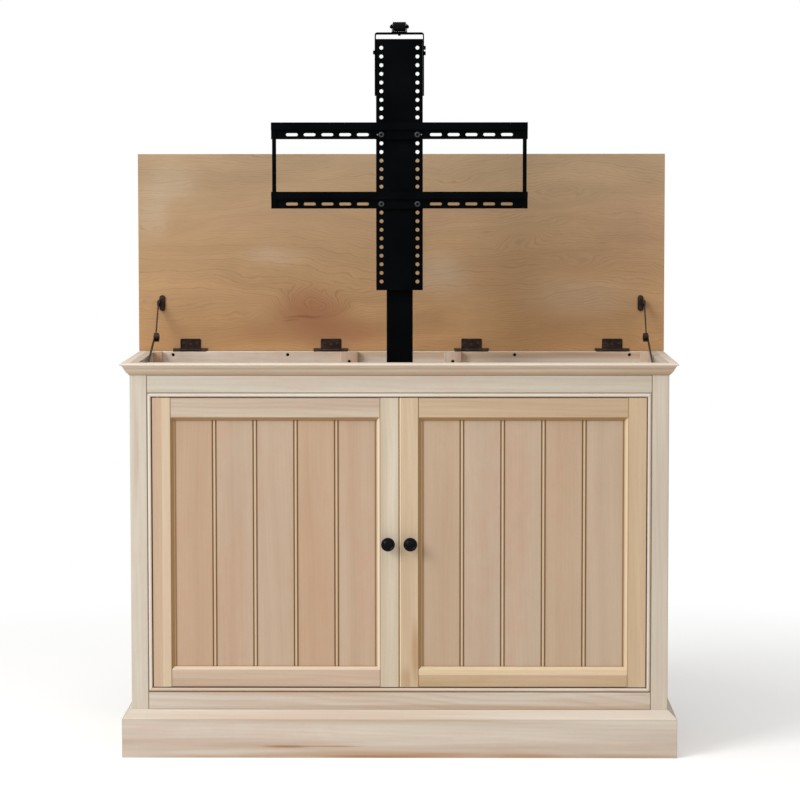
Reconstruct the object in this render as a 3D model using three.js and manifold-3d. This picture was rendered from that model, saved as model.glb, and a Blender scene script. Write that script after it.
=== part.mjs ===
// A television lift cabinet in unfinished hardwood. Two inset beadboard doors hang in a beaded
// face frame between a crown moulding and a plinth. The flat lid folds back on four hinges and
// two folding stays while a telescopic mast carries the screen plate out of the top.
// Millimetres, +X to the right, +Y to the back, +Z up, shown raised and open.
import * as THREE from "three";
import { mergeVertices } from "three/addons/utils/BufferGeometryUtils.js";
import Module from "manifold-3d";

const wasm = await Module();
wasm.setup();

// Cabinet body
const cabinetWidth = 1270;
const cabinetDepth = 472;
const cabinetHeight = 904;
const sideThickness = 19;
const backThickness = 6;
const bottomThickness = 19;
const bottomPanelRise = 20; // from the plinth's top to the bottom panel's upper face
const dadoDepth = 6;
const rebateWidth = 8;
const rearRailThickness = 22;
const rearRailHeight = 70;
const rearPostWidth = 42;
const rearPostThickness = 19;
const rearPostSpacing = 249;
const cornerPostWidth = 20;
const woodFit = 0.2;
const edgeRound = 2;

// Holes bored in the rear rail and posts
const boreRadius = 4;
const boreDepth = 12;
const railBoreDrop = 8;
const railBoreInset = 45; // from the inside of each side panel
const innerBoreShare = 0.4973; // of the way from the middle to the outer bore
const postBoreDrop = 23;

// Crown moulding and plinth
const mouldingProjection = 21;
const crownHeight = 28;
const crownTopRound = 4;
const crownFillet = 1.5;
const crownBandHeight = 7;
const crownSag = 1.3; // how far its two curves leave the straight slope
const plinthHeight = 108;
const plinthBevelHeight = 19;
const plinthTopFlat = 1.5;
const plinthEdgeRound = 3;
const mitreGap = 0.3;

// Face frame with its bead
const frameThickness = 19;
const stileWidth = 39;
const topRailShowing = 40;
const bottomRailShowing = 40.5;
const bottomRailHidden = 20;
const beadWidth = 10;
const beadProud = 1.5;
const beadQuirk = 1.5;
const beadQuirkDepth = 2.5;
const seamGap = 0.3;

// Doors
const doorThickness = 20;
const doorGap = 1.5;
const meetingGap = 1.5;
const hingeStileFlat = 42;
const lockStileFlat = 43;
const topRailFlat = 44.5;
const bottomRailFlat = 40;
const doorEase = 1;
const stickingWidth = 6.5;
const stickingLip = 1.2;
const panelSetBack = 8;
const panelThickness = 8;
const panelGrooveDepth = 10;
const plankCount = 5;
const plankBeadRadius = 4;
const plankBeadDepth = 2.6;
const plankQuirk = 1.6;
const pivotInset = 14;
const pivotSetBack = 6;
const pivotRadius = 3;
const pivotBite = 15;
const pivotCollarRadius = 5;
const pivotFit = 0.4;
const pivotEndGap = 0.3;

// Knobs
const knobRadius = 15.9;
const knobProjection = 28;
const knobHeight = 491;
// The turned outline as shares of the radius and of the projection, from base to crown.
const knobShares = [
  [0.56, 0],
  [0.56, 0.07],
  [0.42, 0.12],
  [0.36, 0.28],
  [0.4, 0.48],
  [0.8, 0.56],
  [0.97, 0.64],
  [1, 0.74],
  [0.95, 0.84],
  [0.8, 0.91],
  [0.74, 0.9],
  [0.68, 0.94],
  [0.36, 0.985],
];

// Lid and its hinges
const lidThickness = 19;
const lidSetBack = 3; // the closed lid's front edge stops this far behind the crown
const lidGap = 2.5; // between the closed lid and the rim
const lidEase = 1.5;
const hingeEndInset = 125; // from the lid's ends to the middle of the outer hinges
const hingeCount = 4;
const hingeAxisBehind = 4.5; // the hinge pin lies this far behind the cabinet's back
const lidOverhang = 1.75; // the closed lid's rear edge reaches this far past the hinge pin
const leafThickness = 1.7;
const lidLeafWidth = 49.5;
const lidLeafLength = 28;
const leafCorner = 3;
const rimLeafWidth = 82;
const rimLeafStrip = 3.5;
const leafNest = 0.5;
const barrelRadius = 3.2;
const barrelRoom = 1.3; // round the barrels, in the notches of the lid's lower edge
const hingePinRadius = 1.6;
const hingePinFit = 0.4;

// Folding lid stays
const stayPadWidth = 14.5;
const stayPadLength = 38.5;
const stayPadThickness = 3;
const stayBracketCorner = 3;
const stayLidPivot = 114; // from the hinge pin along the lid
const stayPivotDrop = 8.8; // from the lid's face to the pivot
const stayUpperLength = 109.6;
const staySlack = 9; // how much longer the two arms are than the open span
const staySidePivotY = 180;
const staySidePivotDrop = 28;
const stayArmThickness = 2.5;
const stayArmHalfWidth = 5;
const stayEyeRadius = 8;
const stayPinRadius = 3;
const stayPinFit = 0.4;
const stayRivetRadius = 5.5;
const stayRivetHeight = 1.2;
const stayKnuckleRadius = 10.5;
const stayKnuckleProud = 6.5; // how far its drum stands in from the upper arm
const stayLugThickness = 3;
const stayBracketThickness = 2.6;
const stayBracketLength = 50;
const stayBracketHeight = 24;
const stayBossRadius = 6.5;
const stayFit = 0.3;

// Telescopic mast: each tube slides in the collar of the one outside it
const liftStroke = 914;
const mastCentreY = 154;
const outerTubeWidth = 76;
const outerTubeDepth = 64;
const middleTubeWidth = 60;
const middleTubeDepth = 48;
const innerTubeWidth = 46;
const innerTubeDepth = 36;
const tubeWall = 3;
const tubeCorner = 5;
const collarProud = 2;
const collarHeight = 14;
const collarFit = 0.6;
const outerTubeLength = 530;
const stageRise = 8; // each retracted tube stands this far above the floor of the last
const headBlockWidth = 40;
const headBlockHeight = 34;
const footWidth = 180;
const footDepth = 200;
const footFront = 92;
const footThickness = 10;
const footCorner = 12;
const footHoleInset = 16;
const footHoleRadius = 5;
const gearboxWidth = 70;
const gearboxDepth = 62;
const gearboxHeight = 60;
const gearboxCorner = 8;
const motorRadius = 28;
const motorLength = 130;
const motorCapRadius = 20;
const motorCapHeight = 12;
const motorGap = 0.3;

// Screen plate, a folded and perforated channel
const plateLength = 574;
const plateWidth = 107;
const plateDepth = 40;
const plateWall = 2.5;
const plateBend = 4;
const plateFloorGap = 13.5; // above the foot when lowered
const plateFrontY = 112;
const plateHoleCount = 28;
const plateHoleMargin = 20;
const plateHoleRadius = 4.5;
const plateHoleOffset = 41.3;

// Slotted screen frame
const frameRailLength = 587;
const frameRailHeight = 38.5;
const frameRailDepth = 17;
const frameBandHeight = 17;
const frameStepDepth = 6;
const frameWall = 3;
const frameSlotLength = 27.2;
const frameSlotHeight = 6.6;
const frameSlotRise = 10.5;
const frameSlotPitch = 40.6;
const frameSlotOffset = 83.5;
const frameSlotCount = 5;
const upperRailHole = 10; // the perforation, counted from the top, that holds each rail
const lowerRailHole = 18;
const endBarWidth = 9;
const endBarDepth = 9;
const endBarInset = 2.4;
const boltRadius = 3.5;
const boltHeadRadius = 6;
const boltHeadHeight = 4;
const nutRadius = 6.5;
const nutHeight = 4.5;

// Roller bracket and roller
const strapTopThickness = 4.5;
const strapLegThickness = 2.8;
const strapDepth = 25;
const strapRise = 10.6; // from the plate's upper end to the strap's underside
const strapLegLength = 144;
const strapBend = 6;
const strapFit = 0.2;
const strapBoltRadius = 3;
const strapBoltHeight = 3;
const thumbScrewRadius = 4.4;
const thumbScrewLength = 3.8;
const thumbScrewDrops = { left: [45.4], right: [34.9, 47.3] }; // below the strap's top
const rollerRadius = 11.2;
const rollerLength = 30;
const rollerEdge = 1.5;
const rollerFit = 0.5;
const rollerRise = 13; // the axle's height over the strap
const rollerFootLength = 36;
const rollerFootThickness = 1.2;
const rollerLipThickness = 2;
const rollerLipHeight = 2.4;
const earThickness = 2;
const earHalfWidth = 7;
const axleRadius = 3;
const axleHeadRadius = 5;
const axleHeadLength = 2.4;
const axleTipLength = 2;

// Facets and cutting allowance
const curveSteps = 4;
const easeSteps = 2;
const slotSteps = 3;
const holeSides = 10;
const smallSides = 16;
const roundSides = 24;
const overrun = 2;

// Worked out from the sizes above
const halfWidth = cabinetWidth / 2;
const bodyHalf = halfWidth - mouldingProjection;
const sideInner = bodyHalf - sideThickness;
const railBoreOuter = sideInner - railBoreInset;
const hingeSpacing = (cabinetWidth - 2 * hingeEndInset) / (hingeCount - 1);
const hingePlaces = Array.from({ length: hingeCount }, (_, i) => (i - (hingeCount - 1) / 2) * hingeSpacing);
const frameFace = mouldingProjection;
const frameBack = frameFace + frameThickness;
const backFace = cabinetDepth - backThickness;
const railFace = backFace - rearRailThickness;
const postFace = railFace - rearPostThickness;
const bottomTop = plinthHeight + bottomPanelRise;
const bottomUnder = bottomTop - bottomThickness;
const frameInner = bodyHalf - stileWidth;
const openingHalf = frameInner - beadWidth;
const topRailUnder = cabinetHeight - crownHeight - topRailShowing;
const bottomRailTop = plinthHeight + bottomRailShowing;
const openingTop = topRailUnder - beadWidth;
const openingBottom = bottomRailTop + beadWidth;
const doorOuter = openingHalf - doorGap;
const doorInner = meetingGap / 2;
const doorTop = openingTop - doorGap;
const doorBottom = openingBottom + doorGap;
const pivotX = doorOuter - pivotInset;
const pivotY = frameFace + pivotSetBack;
const hingeAxisY = cabinetDepth + hingeAxisBehind;
const hingeAxisZ = cabinetHeight + lidGap / 2;
const lidFace = hingeAxisY + lidGap / 2;
const lidUnder = hingeAxisZ - lidOverhang;
const lidTop = hingeAxisZ + hingeAxisY - lidSetBack;
const footTop = bottomTop + footThickness;
const outerTubeTop = footTop + outerTubeLength;
const collarTop = outerTubeTop + stageRise / 2;
const plateBottom = footTop + plateFloorGap + liftStroke;
const plateTop = plateBottom + plateLength;
const plateBackY = plateFrontY + plateWall;
const holePitch = (plateLength - 2 * plateHoleMargin) / (plateHoleCount - 1);
const strapTop = plateTop + strapRise + strapTopThickness;
const rollerY = plateFrontY + strapDepth / 2;
const rollerZ = strapTop + rollerRise;
const frontmost = Math.min(0, frameFace - knobProjection);
const rearmost = lidFace + lidThickness;

// Finishes
const paleMaple = finish(0xd6c7b1, 0.72, 0);
const warmMaple = finish(0xcbb08b, 0.72, 0);
const pinkMaple = finish(0xc5a98e, 0.74, 0);
const lidVeneer = finish(0xb5926a, 0.7, 0);
const darkBronze = finish(0x3a2c24, 0.45, 0.85);
const blackSteel = finish(0x0d0e10, 0.5, 0.3);
const blackKnob = finish(0x17161a, 0.35, 0.6);
const brightSteel = finish(0xb4b6b8, 0.35, 1);
const blackRubber = finish(0x18181a, 0.85, 0);

const east = new THREE.Vector3(1, 0, 0);
const west = new THREE.Vector3(-1, 0, 0);
const north = new THREE.Vector3(0, 1, 0);
const south = new THREE.Vector3(0, -1, 0);
const upward = new THREE.Vector3(0, 0, 1);
const downward = new THREE.Vector3(0, 0, -1);
const sides = [-1, 1];

function finish(color, roughness, metalness) {
  return new THREE.MeshStandardMaterial({ color, roughness, metalness });
}

function sideName(side) {
  return side < 0 ? "left" : "right";
}

// Closed geometry becomes a solid that can be joined and cut.
function solid(geometry) {
  const bare = geometry.index ? geometry.toNonIndexed() : geometry.clone();
  bare.deleteAttribute("normal");
  bare.deleteAttribute("uv");
  const merged = mergeVertices(bare, 1e-4);
  const corners = merged.index.array;
  const kept = [];
  for (let i = 0; i < corners.length; i += 3) {
    const [a, b, c] = [corners[i], corners[i + 1], corners[i + 2]];
    if (a !== b && b !== c && c !== a) kept.push(a, b, c);
  }
  return new wasm.Manifold(
    new wasm.Mesh({
      numProp: 3,
      vertProperties: merged.attributes.position.array,
      triVerts: new Uint32Array(kept),
    }),
  );
}

function geometryOf(made) {
  const { vertProperties, triVerts } = made.getMesh();
  const geometry = new THREE.BufferGeometry();
  geometry.setAttribute("position", new THREE.BufferAttribute(vertProperties, 3));
  geometry.setIndex(new THREE.BufferAttribute(triVerts, 1));
  const flat = geometry.toNonIndexed();
  flat.computeVertexNormals();
  return flat;
}

function joined(...pieces) {
  return pieces.map(solid).reduce((whole, piece) => whole.add(piece));
}

function cut(body, ...cutters) {
  return cutters.map(solid).reduce((whole, cutter) => whole.subtract(cutter), body);
}

function part(name, shape, material) {
  const geometry = shape.isBufferGeometry ? shape : geometryOf(shape);
  const mesh = new THREE.Mesh(geometry, material);
  mesh.name = name;
  return mesh;
}

// An outline is a list of points, and a straight piece is that outline drawn out.
function extruded(outline, depth, ...holes) {
  const shape = new THREE.Shape(withoutRepeats(outline));
  shape.holes = holes.map((hole) => new THREE.Path(withoutRepeats(hole)));
  return new THREE.ExtrudeGeometry(shape, { depth, bevelEnabled: false });
}

function withoutRepeats(outline) {
  const points = outline.map(([a, b]) => new THREE.Vector2(a, b));
  return points.filter((p, i) => !p.equals(points[(i + points.length - 1) % points.length]));
}

function alongX(outline, start, end, ...holes) {
  return laid(extruded(outline, end - start, ...holes), north, upward, east, start, 0, 0);
}

function alongY(outline, start, end, ...holes) {
  return laid(extruded(outline, end - start, ...holes), east, upward, north, 0, start, 0);
}

function alongZ(outline, start, end, ...holes) {
  return laid(extruded(outline, end - start, ...holes), east, north, upward, 0, 0, start);
}

// Lays a piece's own three axes along the given directions. Where that mirrors the piece,
// its triangles are turned round so that they still face out.
function laid(geometry, first, second, third, x, y, z) {
  const placing = new THREE.Matrix4().makeBasis(first, second, third).setPosition(x, y, z);
  geometry.applyMatrix4(placing);
  if (placing.determinant() > 0) return geometry;
  const place = geometry.attributes.position;
  for (let i = 0; i < place.count; i += 3) {
    const [x1, y1, z1] = [place.getX(i + 1), place.getY(i + 1), place.getZ(i + 1)];
    place.setXYZ(i + 1, place.getX(i + 2), place.getY(i + 2), place.getZ(i + 2));
    place.setXYZ(i + 2, x1, y1, z1);
  }
  return geometry;
}

function rectangle(a0, b0, a1, b1) {
  return [
    [a0, b0],
    [a1, b0],
    [a1, b1],
    [a0, b1],
  ];
}

function arc(a, b, radius, from, to, steps = curveSteps) {
  return Array.from({ length: steps + 1 }, (_, i) => {
    const angle = THREE.MathUtils.degToRad(from + ((to - from) * i) / steps);
    return [a + radius * Math.cos(angle), b + radius * Math.sin(angle)];
  });
}

function rounded(a0, b0, a1, b1, radius, steps = curveSteps) {
  const r = Math.min(radius, (a1 - a0) / 2, (b1 - b0) / 2);
  return [
    ...arc(a0 + r, b0 + r, r, 180, 270, steps),
    ...arc(a1 - r, b0 + r, r, 270, 360, steps),
    ...arc(a1 - r, b1 - r, r, 0, 90, steps),
    ...arc(a0 + r, b1 - r, r, 90, 180, steps),
  ];
}

function box(x0, x1, y0, y1, z0, z1) {
  return alongZ(rectangle(x0, y0, x1, y1), z0, z1);
}

// A round bar. Its centre gives the two coordinates across its axis, in the order x, y, z.
function rodX(y, z, radius, start, end, count = holeSides) {
  const rod = new THREE.CylinderGeometry(radius, radius, end - start, count);
  return rod.rotateZ(Math.PI / 2).translate((start + end) / 2, y, z);
}

function rodY(x, z, radius, start, end, count = holeSides) {
  const rod = new THREE.CylinderGeometry(radius, radius, end - start, count);
  return rod.translate(x, (start + end) / 2, z);
}

function rodZ(x, y, radius, start, end, count = holeSides) {
  const rod = new THREE.CylinderGeometry(radius, radius, end - start, count);
  return rod.rotateX(Math.PI / 2).translate(x, y, (start + end) / 2);
}

// The X interval between two distances from the middle plane, in rising order.
function across(side, near, far) {
  return side > 0 ? [near, far] : [-far, -near];
}

// A moulding runs along a wall. At a mitred end, a point that stands out from the wall by
// some amount lies that much further along, or less far for a mitre of -1.
function moulding(outline, start, end, mitreStart, mitreEnd) {
  const geometry = extruded(outline, end - start);
  const place = geometry.attributes.position;
  const middle = (end - start) / 2;
  for (let i = 0; i < place.count; i++) {
    const out = Math.max(0, place.getX(i));
    const shift = place.getZ(i) > middle ? mitreEnd * out : -mitreStart * out;
    place.setZ(i, place.getZ(i) + shift + start);
  }
  return geometry;
}

// A shallow curve between two points, bowed out to the right of its way for a positive sag.
function bowed([a0, b0], [a1, b1], sag) {
  const run = Math.hypot(a1 - a0, b1 - b0);
  return Array.from({ length: curveSteps + 1 }, (_, i) => {
    const t = i / curveSteps;
    const lift = (4 * t * (1 - t) * sag) / run;
    return [a0 + (a1 - a0) * t + (b1 - b0) * lift, b0 + (b1 - b0) * t - (a1 - a0) * lift];
  });
}

// Carcass
function sidePanel(side) {
  const outline = [
    [side * bodyHalf, frameBack],
    [side * sideInner, frameBack],
    [side * sideInner, backFace],
    [side * (sideInner + rebateWidth), backFace],
    [side * (sideInner + rebateWidth), cabinetDepth],
    [side * bodyHalf, cabinetDepth],
  ];
  const [x0, x1] = across(side, sideInner - overrun, sideInner + dadoDepth);
  const dado = box(x0, x1, frameBack - overrun, backFace, bottomUnder - woodFit, bottomTop + woodFit);
  const panel = solid(alongZ(outline, 0, cabinetHeight));
  return part(sideName(side) + "_side_panel", cut(panel, dado), paleMaple);
}

function bottomPanel() {
  const half = sideInner + dadoDepth - woodFit;
  const panel = box(-half, half, frameBack, backFace - woodFit, bottomUnder, bottomTop);
  return part("bottom_panel", panel, paleMaple);
}

function backPanel() {
  const half = sideInner + rebateWidth - woodFit;
  const panel = box(-half, half, backFace, cabinetDepth, bottomUnder, cabinetHeight);
  return part("back_panel", panel, paleMaple);
}

function rearTopRail() {
  const outline = [
    [backFace, cabinetHeight - rearRailHeight],
    [backFace, cabinetHeight],
    ...arc(railFace + edgeRound, cabinetHeight - edgeRound, edgeRound, 90, 180, easeSteps),
    [railFace, cabinetHeight - rearRailHeight],
  ];
  const bores = sides.flatMap((side) =>
    [railBoreOuter * innerBoreShare, railBoreOuter].map((x) =>
      rodY(
        side * x,
        cabinetHeight - railBoreDrop,
        boreRadius,
        railFace - overrun,
        railFace + boreDepth,
      ),
    ),
  );
  const rail = solid(alongX(outline, -sideInner, sideInner));
  return part("rear_top_rail", cut(rail, ...bores), paleMaple);
}

function rearPost(side) {
  const centre = (side * rearPostSpacing) / 2;
  const half = rearPostWidth / 2;
  const outline = rounded(
    centre - half,
    postFace,
    centre + half,
    railFace - woodFit,
    edgeRound,
    easeSteps,
  );
  const height = cabinetHeight - postBoreDrop;
  const bore = rodY(centre, height, boreRadius, postFace - overrun, postFace + boreDepth);
  const post = solid(alongZ(outline, bottomTop, cabinetHeight));
  return part(sideName(side) + "_rear_post", cut(post, bore), paleMaple);
}

function cornerPost(side) {
  const [x0, x1] = across(side, sideInner - cornerPostWidth, sideInner);
  const post = box(x0, x1, postFace, railFace - woodFit, bottomTop, cabinetHeight);
  return part(sideName(side) + "_corner_post", post, paleMaple);
}

// Crown: a rounded top edge over a hollow and a round that keep to one straight slope.
function crownOutline() {
  const slopeTop = crownHeight - crownTopRound;
  const breakOut = mouldingProjection - crownFillet - crownBandHeight;
  const breakUp = slopeTop - crownBandHeight;
  const half = crownFillet / 2;
  return [
    [0, 0],
    [crownFillet, 0],
    ...bowed([crownFillet, crownFillet], [breakOut, breakUp - half], crownSag),
    ...bowed([breakOut + half, breakUp], [mouldingProjection - half, slopeTop - half], -crownSag),
    ...arc(mouldingProjection - crownTopRound, slopeTop, crownTopRound, 0, 90),
    [0, crownHeight],
  ];
}

// Plinth: an upright face under a long bevel with a softened edge.
function plinthOutline() {
  const bevelStart = plinthHeight - plinthBevelHeight;
  const slope = Math.atan2(plinthBevelHeight, mouldingProjection - plinthTopFlat);
  const turn = 90 - THREE.MathUtils.radToDeg(slope);
  const setBack = plinthEdgeRound * Math.tan(THREE.MathUtils.degToRad(turn) / 2);
  return [
    [0, 0],
    [mouldingProjection, 0],
    ...arc(mouldingProjection - plinthEdgeRound, bevelStart - setBack, plinthEdgeRound, 0, turn),
    [plinthTopFlat, plinthHeight],
    [0, plinthHeight],
  ];
}

function frontMoulding(name, outline, base) {
  const run = bodyHalf - mitreGap / 2;
  const strip = moulding(outline, -run, run, 1, 1);
  return part(name, laid(strip, south, upward, west, 0, frameFace, base), paleMaple);
}

// A side moulding is mitred at the front and ends square at the back.
function sideMoulding(name, side, outline, base) {
  const strip = moulding(outline, frameFace + mitreGap / 2, cabinetDepth, 1, 0);
  const out = side < 0 ? west : east;
  return part(name, laid(strip, out, upward, north, side * bodyHalf, 0, base), paleMaple);
}

// Face frame: a bead is worked on the inner edge of each member and mitred at the corners.
// Its outline runs inward from the flat and back from the frame's face.
function beadOutline() {
  const half = (beadWidth - beadQuirk) / 2;
  const rise = beadQuirkDepth + beadProud;
  const dome = arc(0, 0, 1, 180, 360, 2 * curveSteps).map(([a, b]) => [
    beadQuirk + half + a * half,
    beadQuirkDepth + b * rise,
  ]);
  return [
    [-beadQuirk, frameThickness],
    [-beadQuirk, beadQuirkDepth],
    ...dome,
    [beadWidth, frameThickness],
  ];
}

function faceStile(side) {
  const inner = side * frameInner;
  const outer = side * bodyHalf;
  const flat = alongZ(
    [
      [inner, frameFace],
      ...arc(outer - side * edgeRound, frameFace + edgeRound, edgeRound, -90, side > 0 ? 0 : -180, easeSteps),
      [outer, frameBack],
      [inner, frameBack],
    ],
    0,
    cabinetHeight,
  );
  const low = bottomRailTop + mitreGap / 2;
  const high = topRailUnder - mitreGap / 2;
  const bead = moulding(beadOutline(), low, high, -1, -1);
  const inward = side < 0 ? east : west;
  laid(bead, inward, north, upward, inner, frameFace, 0);
  return part("face_frame_" + sideName(side) + "_stile", joined(flat, bead), paleMaple);
}

function faceRail(name, low, high, edge, up) {
  const half = frameInner - seamGap;
  const flat = box(-half, half, frameFace, frameBack, low, high);
  const run = frameInner - mitreGap / 2;
  const bead = moulding(beadOutline(), -run, run, -1, -1);
  laid(bead, up > 0 ? upward : downward, north, east, 0, frameFace, edge);
  const rim = edge + up * beadWidth;
  const reach = [rim + up * overrun, rim - up * pivotBite].sort((a, b) => a - b);
  const bores = sides.map((side) => rodZ(side * pivotX, pivotY, pivotRadius + pivotFit, ...reach));
  return part(name, cut(joined(flat, bead), ...bores), paleMaple);
}

// Doors: cope and stick frames round a beadboard panel. A member's outline runs inward from
// its outer edge and back from its face. Given a clearance it is the cutter that copes a
// rail's end over the stile.
function stickingOutline(flat, clearance) {
  const past = clearance ? overrun : 0;
  const ease = clearance ? 0 : doorEase;
  const edge = flat + stickingWidth + clearance;
  const floor = edge - panelGrooveDepth;
  const grooveFront = panelSetBack - woodFit + clearance;
  const grooveBack = panelSetBack + panelThickness + woodFit - clearance;
  return [
    [0, ease - past],
    [ease, -past],
    [flat + clearance, -past],
    [flat + clearance, 0],
    [edge, panelSetBack - stickingLip],
    [edge, grooveFront],
    [floor, grooveFront],
    [floor, grooveBack],
    [edge, grooveBack],
    [edge, doorThickness + past],
    [0, doorThickness + past],
  ];
}

// A stile is set by the X of its outer edge and by the way it grows from there.
function doorStile(name, edgeX, way, flat, material) {
  const geometry = extruded(stickingOutline(flat, 0), doorTop - doorBottom);
  laid(geometry, way < 0 ? west : east, north, upward, edgeX, frameFace, doorBottom);
  const stile = solid(geometry);
  const x = edgeX + way * pivotInset;
  const bores = [
    [doorTop - pivotBite, doorTop + overrun],
    [doorBottom - overrun, doorBottom + pivotBite],
  ].map((reach) => rodZ(x, pivotY, pivotRadius + pivotFit, ...reach));
  const hung = flat === hingeStileFlat;
  return part(name, hung ? cut(stile, ...bores) : stile, material);
}

function doorRail(name, side, edgeZ, up, flat, material) {
  const tongue = panelGrooveDepth - stickingWidth;
  const [x0, x1] = across(
    side,
    doorInner + lockStileFlat - tongue,
    doorOuter - hingeStileFlat + tongue,
  );
  const geometry = extruded(stickingOutline(flat, 0), x1 - x0);
  laid(geometry, up > 0 ? upward : downward, north, east, x0, frameFace, edgeZ);
  const reach = flat + stickingWidth + overrun;
  const [low, high] = [edgeZ - up * overrun, edgeZ + up * reach].sort((a, b) => a - b);
  const copes = [
    [doorInner, side, lockStileFlat],
    [doorOuter, -side, hingeStileFlat],
  ].map(([edge, way, stileFlat]) => {
    const cope = extruded(stickingOutline(stileFlat, seamGap), high - low);
    return laid(cope, way < 0 ? west : east, north, upward, side * edge, frameFace, low);
  });
  return part(name, cut(solid(geometry), ...copes), material);
}

// The panel is one board worked with beads to look like planks, held in all four grooves.
function doorPanel(name, side, material) {
  const grip = panelGrooveDepth - 2 * woodFit;
  const near = doorInner + lockStileFlat + stickingWidth;
  const far = doorOuter - hingeStileFlat - stickingWidth;
  const face = frameFace + panelSetBack;
  const pitch = (far - near) / plankCount;
  const beads = Array.from({ length: plankCount - 1 }, (_, i) => {
    const centre = near + pitch * (i + 1);
    const dome = arc(0, 0, 1, 180, 360, 2 * curveSteps).map(([a, b]) => [
      centre + a * plankBeadRadius,
      face + plankBeadDepth * (1 + b),
    ]);
    const edge = plankBeadRadius + plankQuirk;
    return [[centre - edge, face], ...dome, [centre + edge, face]];
  });
  const outline = [
    [near - grip, face],
    ...beads.flat(),
    [far + grip, face],
    [far + grip, face + panelThickness],
    [near - grip, face + panelThickness],
  ].map(([x, y]) => [side * x, y]);
  const low = doorBottom + bottomRailFlat + stickingWidth - grip;
  const high = doorTop - topRailFlat - stickingWidth + grip;
  return part(name, alongZ(outline, low, high), material);
}

function doorKnob(name, side) {
  const turned = knobShares.map(
    ([r, out]) => new THREE.Vector2(r * knobRadius, -out * knobProjection),
  );
  const points = [new THREE.Vector2(0, 0), ...turned, new THREE.Vector2(0, -knobProjection)];
  const knob = new THREE.LatheGeometry(points.reverse(), roundSides);
  const x = side * (doorInner + (lockStileFlat + stickingWidth) / 2);
  return part(name, solid(knob.translate(x, frameFace, knobHeight)), blackKnob);
}

// A steel pin joins the frame's bead to the door's end, with a collar in the gap.
function doorPin(name, side, rim, up) {
  const reach = pivotBite - pivotEndGap;
  const doorEnd = rim - up * doorGap;
  const [low, high] = [rim + up * reach, doorEnd - up * reach].sort((a, b) => a - b);
  const gap = [rim - up * pivotEndGap, doorEnd + up * pivotEndGap].sort((a, b) => a - b);
  const pin = rodZ(side * pivotX, pivotY, pivotRadius, low, high);
  const collar = rodZ(side * pivotX, pivotY, pivotCollarRadius, ...gap, smallSides);
  return part(name, joined(pin, collar), brightSteel);
}

function door(side) {
  const name = sideName(side) + "_door_";
  const stileWood = side < 0 ? paleMaple : warmMaple;
  return [
    doorStile(name + "hinge_stile", side * doorOuter, -side, hingeStileFlat, stileWood),
    doorStile(name + "lock_stile", side * doorInner, side, lockStileFlat, paleMaple),
    doorRail(name + "top_rail", side, doorTop, -1, topRailFlat, warmMaple),
    doorRail(name + "bottom_rail", side, doorBottom, 1, bottomRailFlat, warmMaple),
    doorPanel(name + "beadboard_panel", side, pinkMaple),
    doorKnob(name + "knob", side),
    doorPin(name + "upper_pin", side, openingTop, 1),
    doorPin(name + "lower_pin", side, openingBottom, -1),
  ];
}

// The lid hangs down behind the rim when open, so its lower edge is notched for the barrels.
function lidPanel() {
  const outline = rounded(lidFace, lidUnder, lidFace + lidThickness, lidTop, lidEase, easeSteps);
  const half = rimLeafWidth / 2 + barrelRoom;
  const room = barrelRadius + barrelRoom;
  const notches = hingePlaces.map((x) =>
    box(
      x - half,
      x + half,
      lidFace - overrun,
      hingeAxisY + room,
      lidUnder - overrun,
      hingeAxisZ + room,
    ),
  );
  return part("lid_panel", cut(solid(alongX(outline, -halfWidth, halfWidth)), ...notches), lidVeneer);
}

// The lid leaf carries the middle knuckle of the barrel.
function lidLeaf(name, x) {
  const half = lidLeafWidth / 2;
  const leaf = alongY(
    rounded(x - half, hingeAxisZ - leafCorner, x + half, hingeAxisZ + lidLeafLength, leafCorner),
    lidFace - leafThickness,
    lidFace,
  );
  const knuckle = rodX(hingeAxisY, hingeAxisZ, barrelRadius, x - half, x + half, smallSides);
  const below = box(
    x - half - overrun,
    x + half + overrun,
    lidFace - barrelRadius - leafThickness,
    lidFace + overrun,
    hingeAxisZ - leafCorner - overrun,
    hingeAxisZ,
  );
  const bore = rodX(
    hingeAxisY,
    hingeAxisZ,
    hingePinRadius + hingePinFit,
    x - half - overrun,
    x + half + overrun,
  );
  const trimmed = cut(solid(leaf), below).add(solid(knuckle));
  return part(name, cut(trimmed, bore), darkBronze);
}

// The rim leaf lies round the lid leaf, and carries the outer knuckles and the pin.
function rimLeaf(name, x) {
  const half = rimLeafWidth / 2;
  const inner = lidLeafWidth / 2 + leafNest;
  const front = hingeAxisY - lidLeafLength - leafNest;
  const leaf = alongZ(
    rounded(x - half, front - rimLeafStrip, x + half, hingeAxisY + leafCorner, leafCorner),
    cabinetHeight,
    cabinetHeight + leafThickness,
  );
  const window = box(
    x - inner,
    x + inner,
    front,
    hingeAxisY + leafCorner + overrun,
    cabinetHeight - overrun,
    cabinetHeight + leafThickness + overrun,
  );
  const behind = box(
    x - half - overrun,
    x + half + overrun,
    hingeAxisY,
    hingeAxisY + leafCorner + overrun,
    cabinetHeight - overrun,
    cabinetHeight + leafThickness + overrun,
  );
  const made = [
    [x - half, x - inner],
    [x + inner, x + half],
  ].reduce(
    (whole, reach) => whole.add(solid(rodX(hingeAxisY, hingeAxisZ, barrelRadius, ...reach, smallSides))),
    cut(solid(leaf), window, behind),
  );
  const pin = rodX(hingeAxisY, hingeAxisZ, hingePinRadius, x - half, x + half);
  return part(name, made.add(solid(pin)), darkBronze);
}

function lidHinges() {
  return hingePlaces.flatMap((x, i) => {
    const name = "lid_hinge_" + (i + 1);
    return [lidLeaf(name + "_lid_leaf", x), rimLeaf(name + "_rim_leaf", x)];
  });
}

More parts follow.
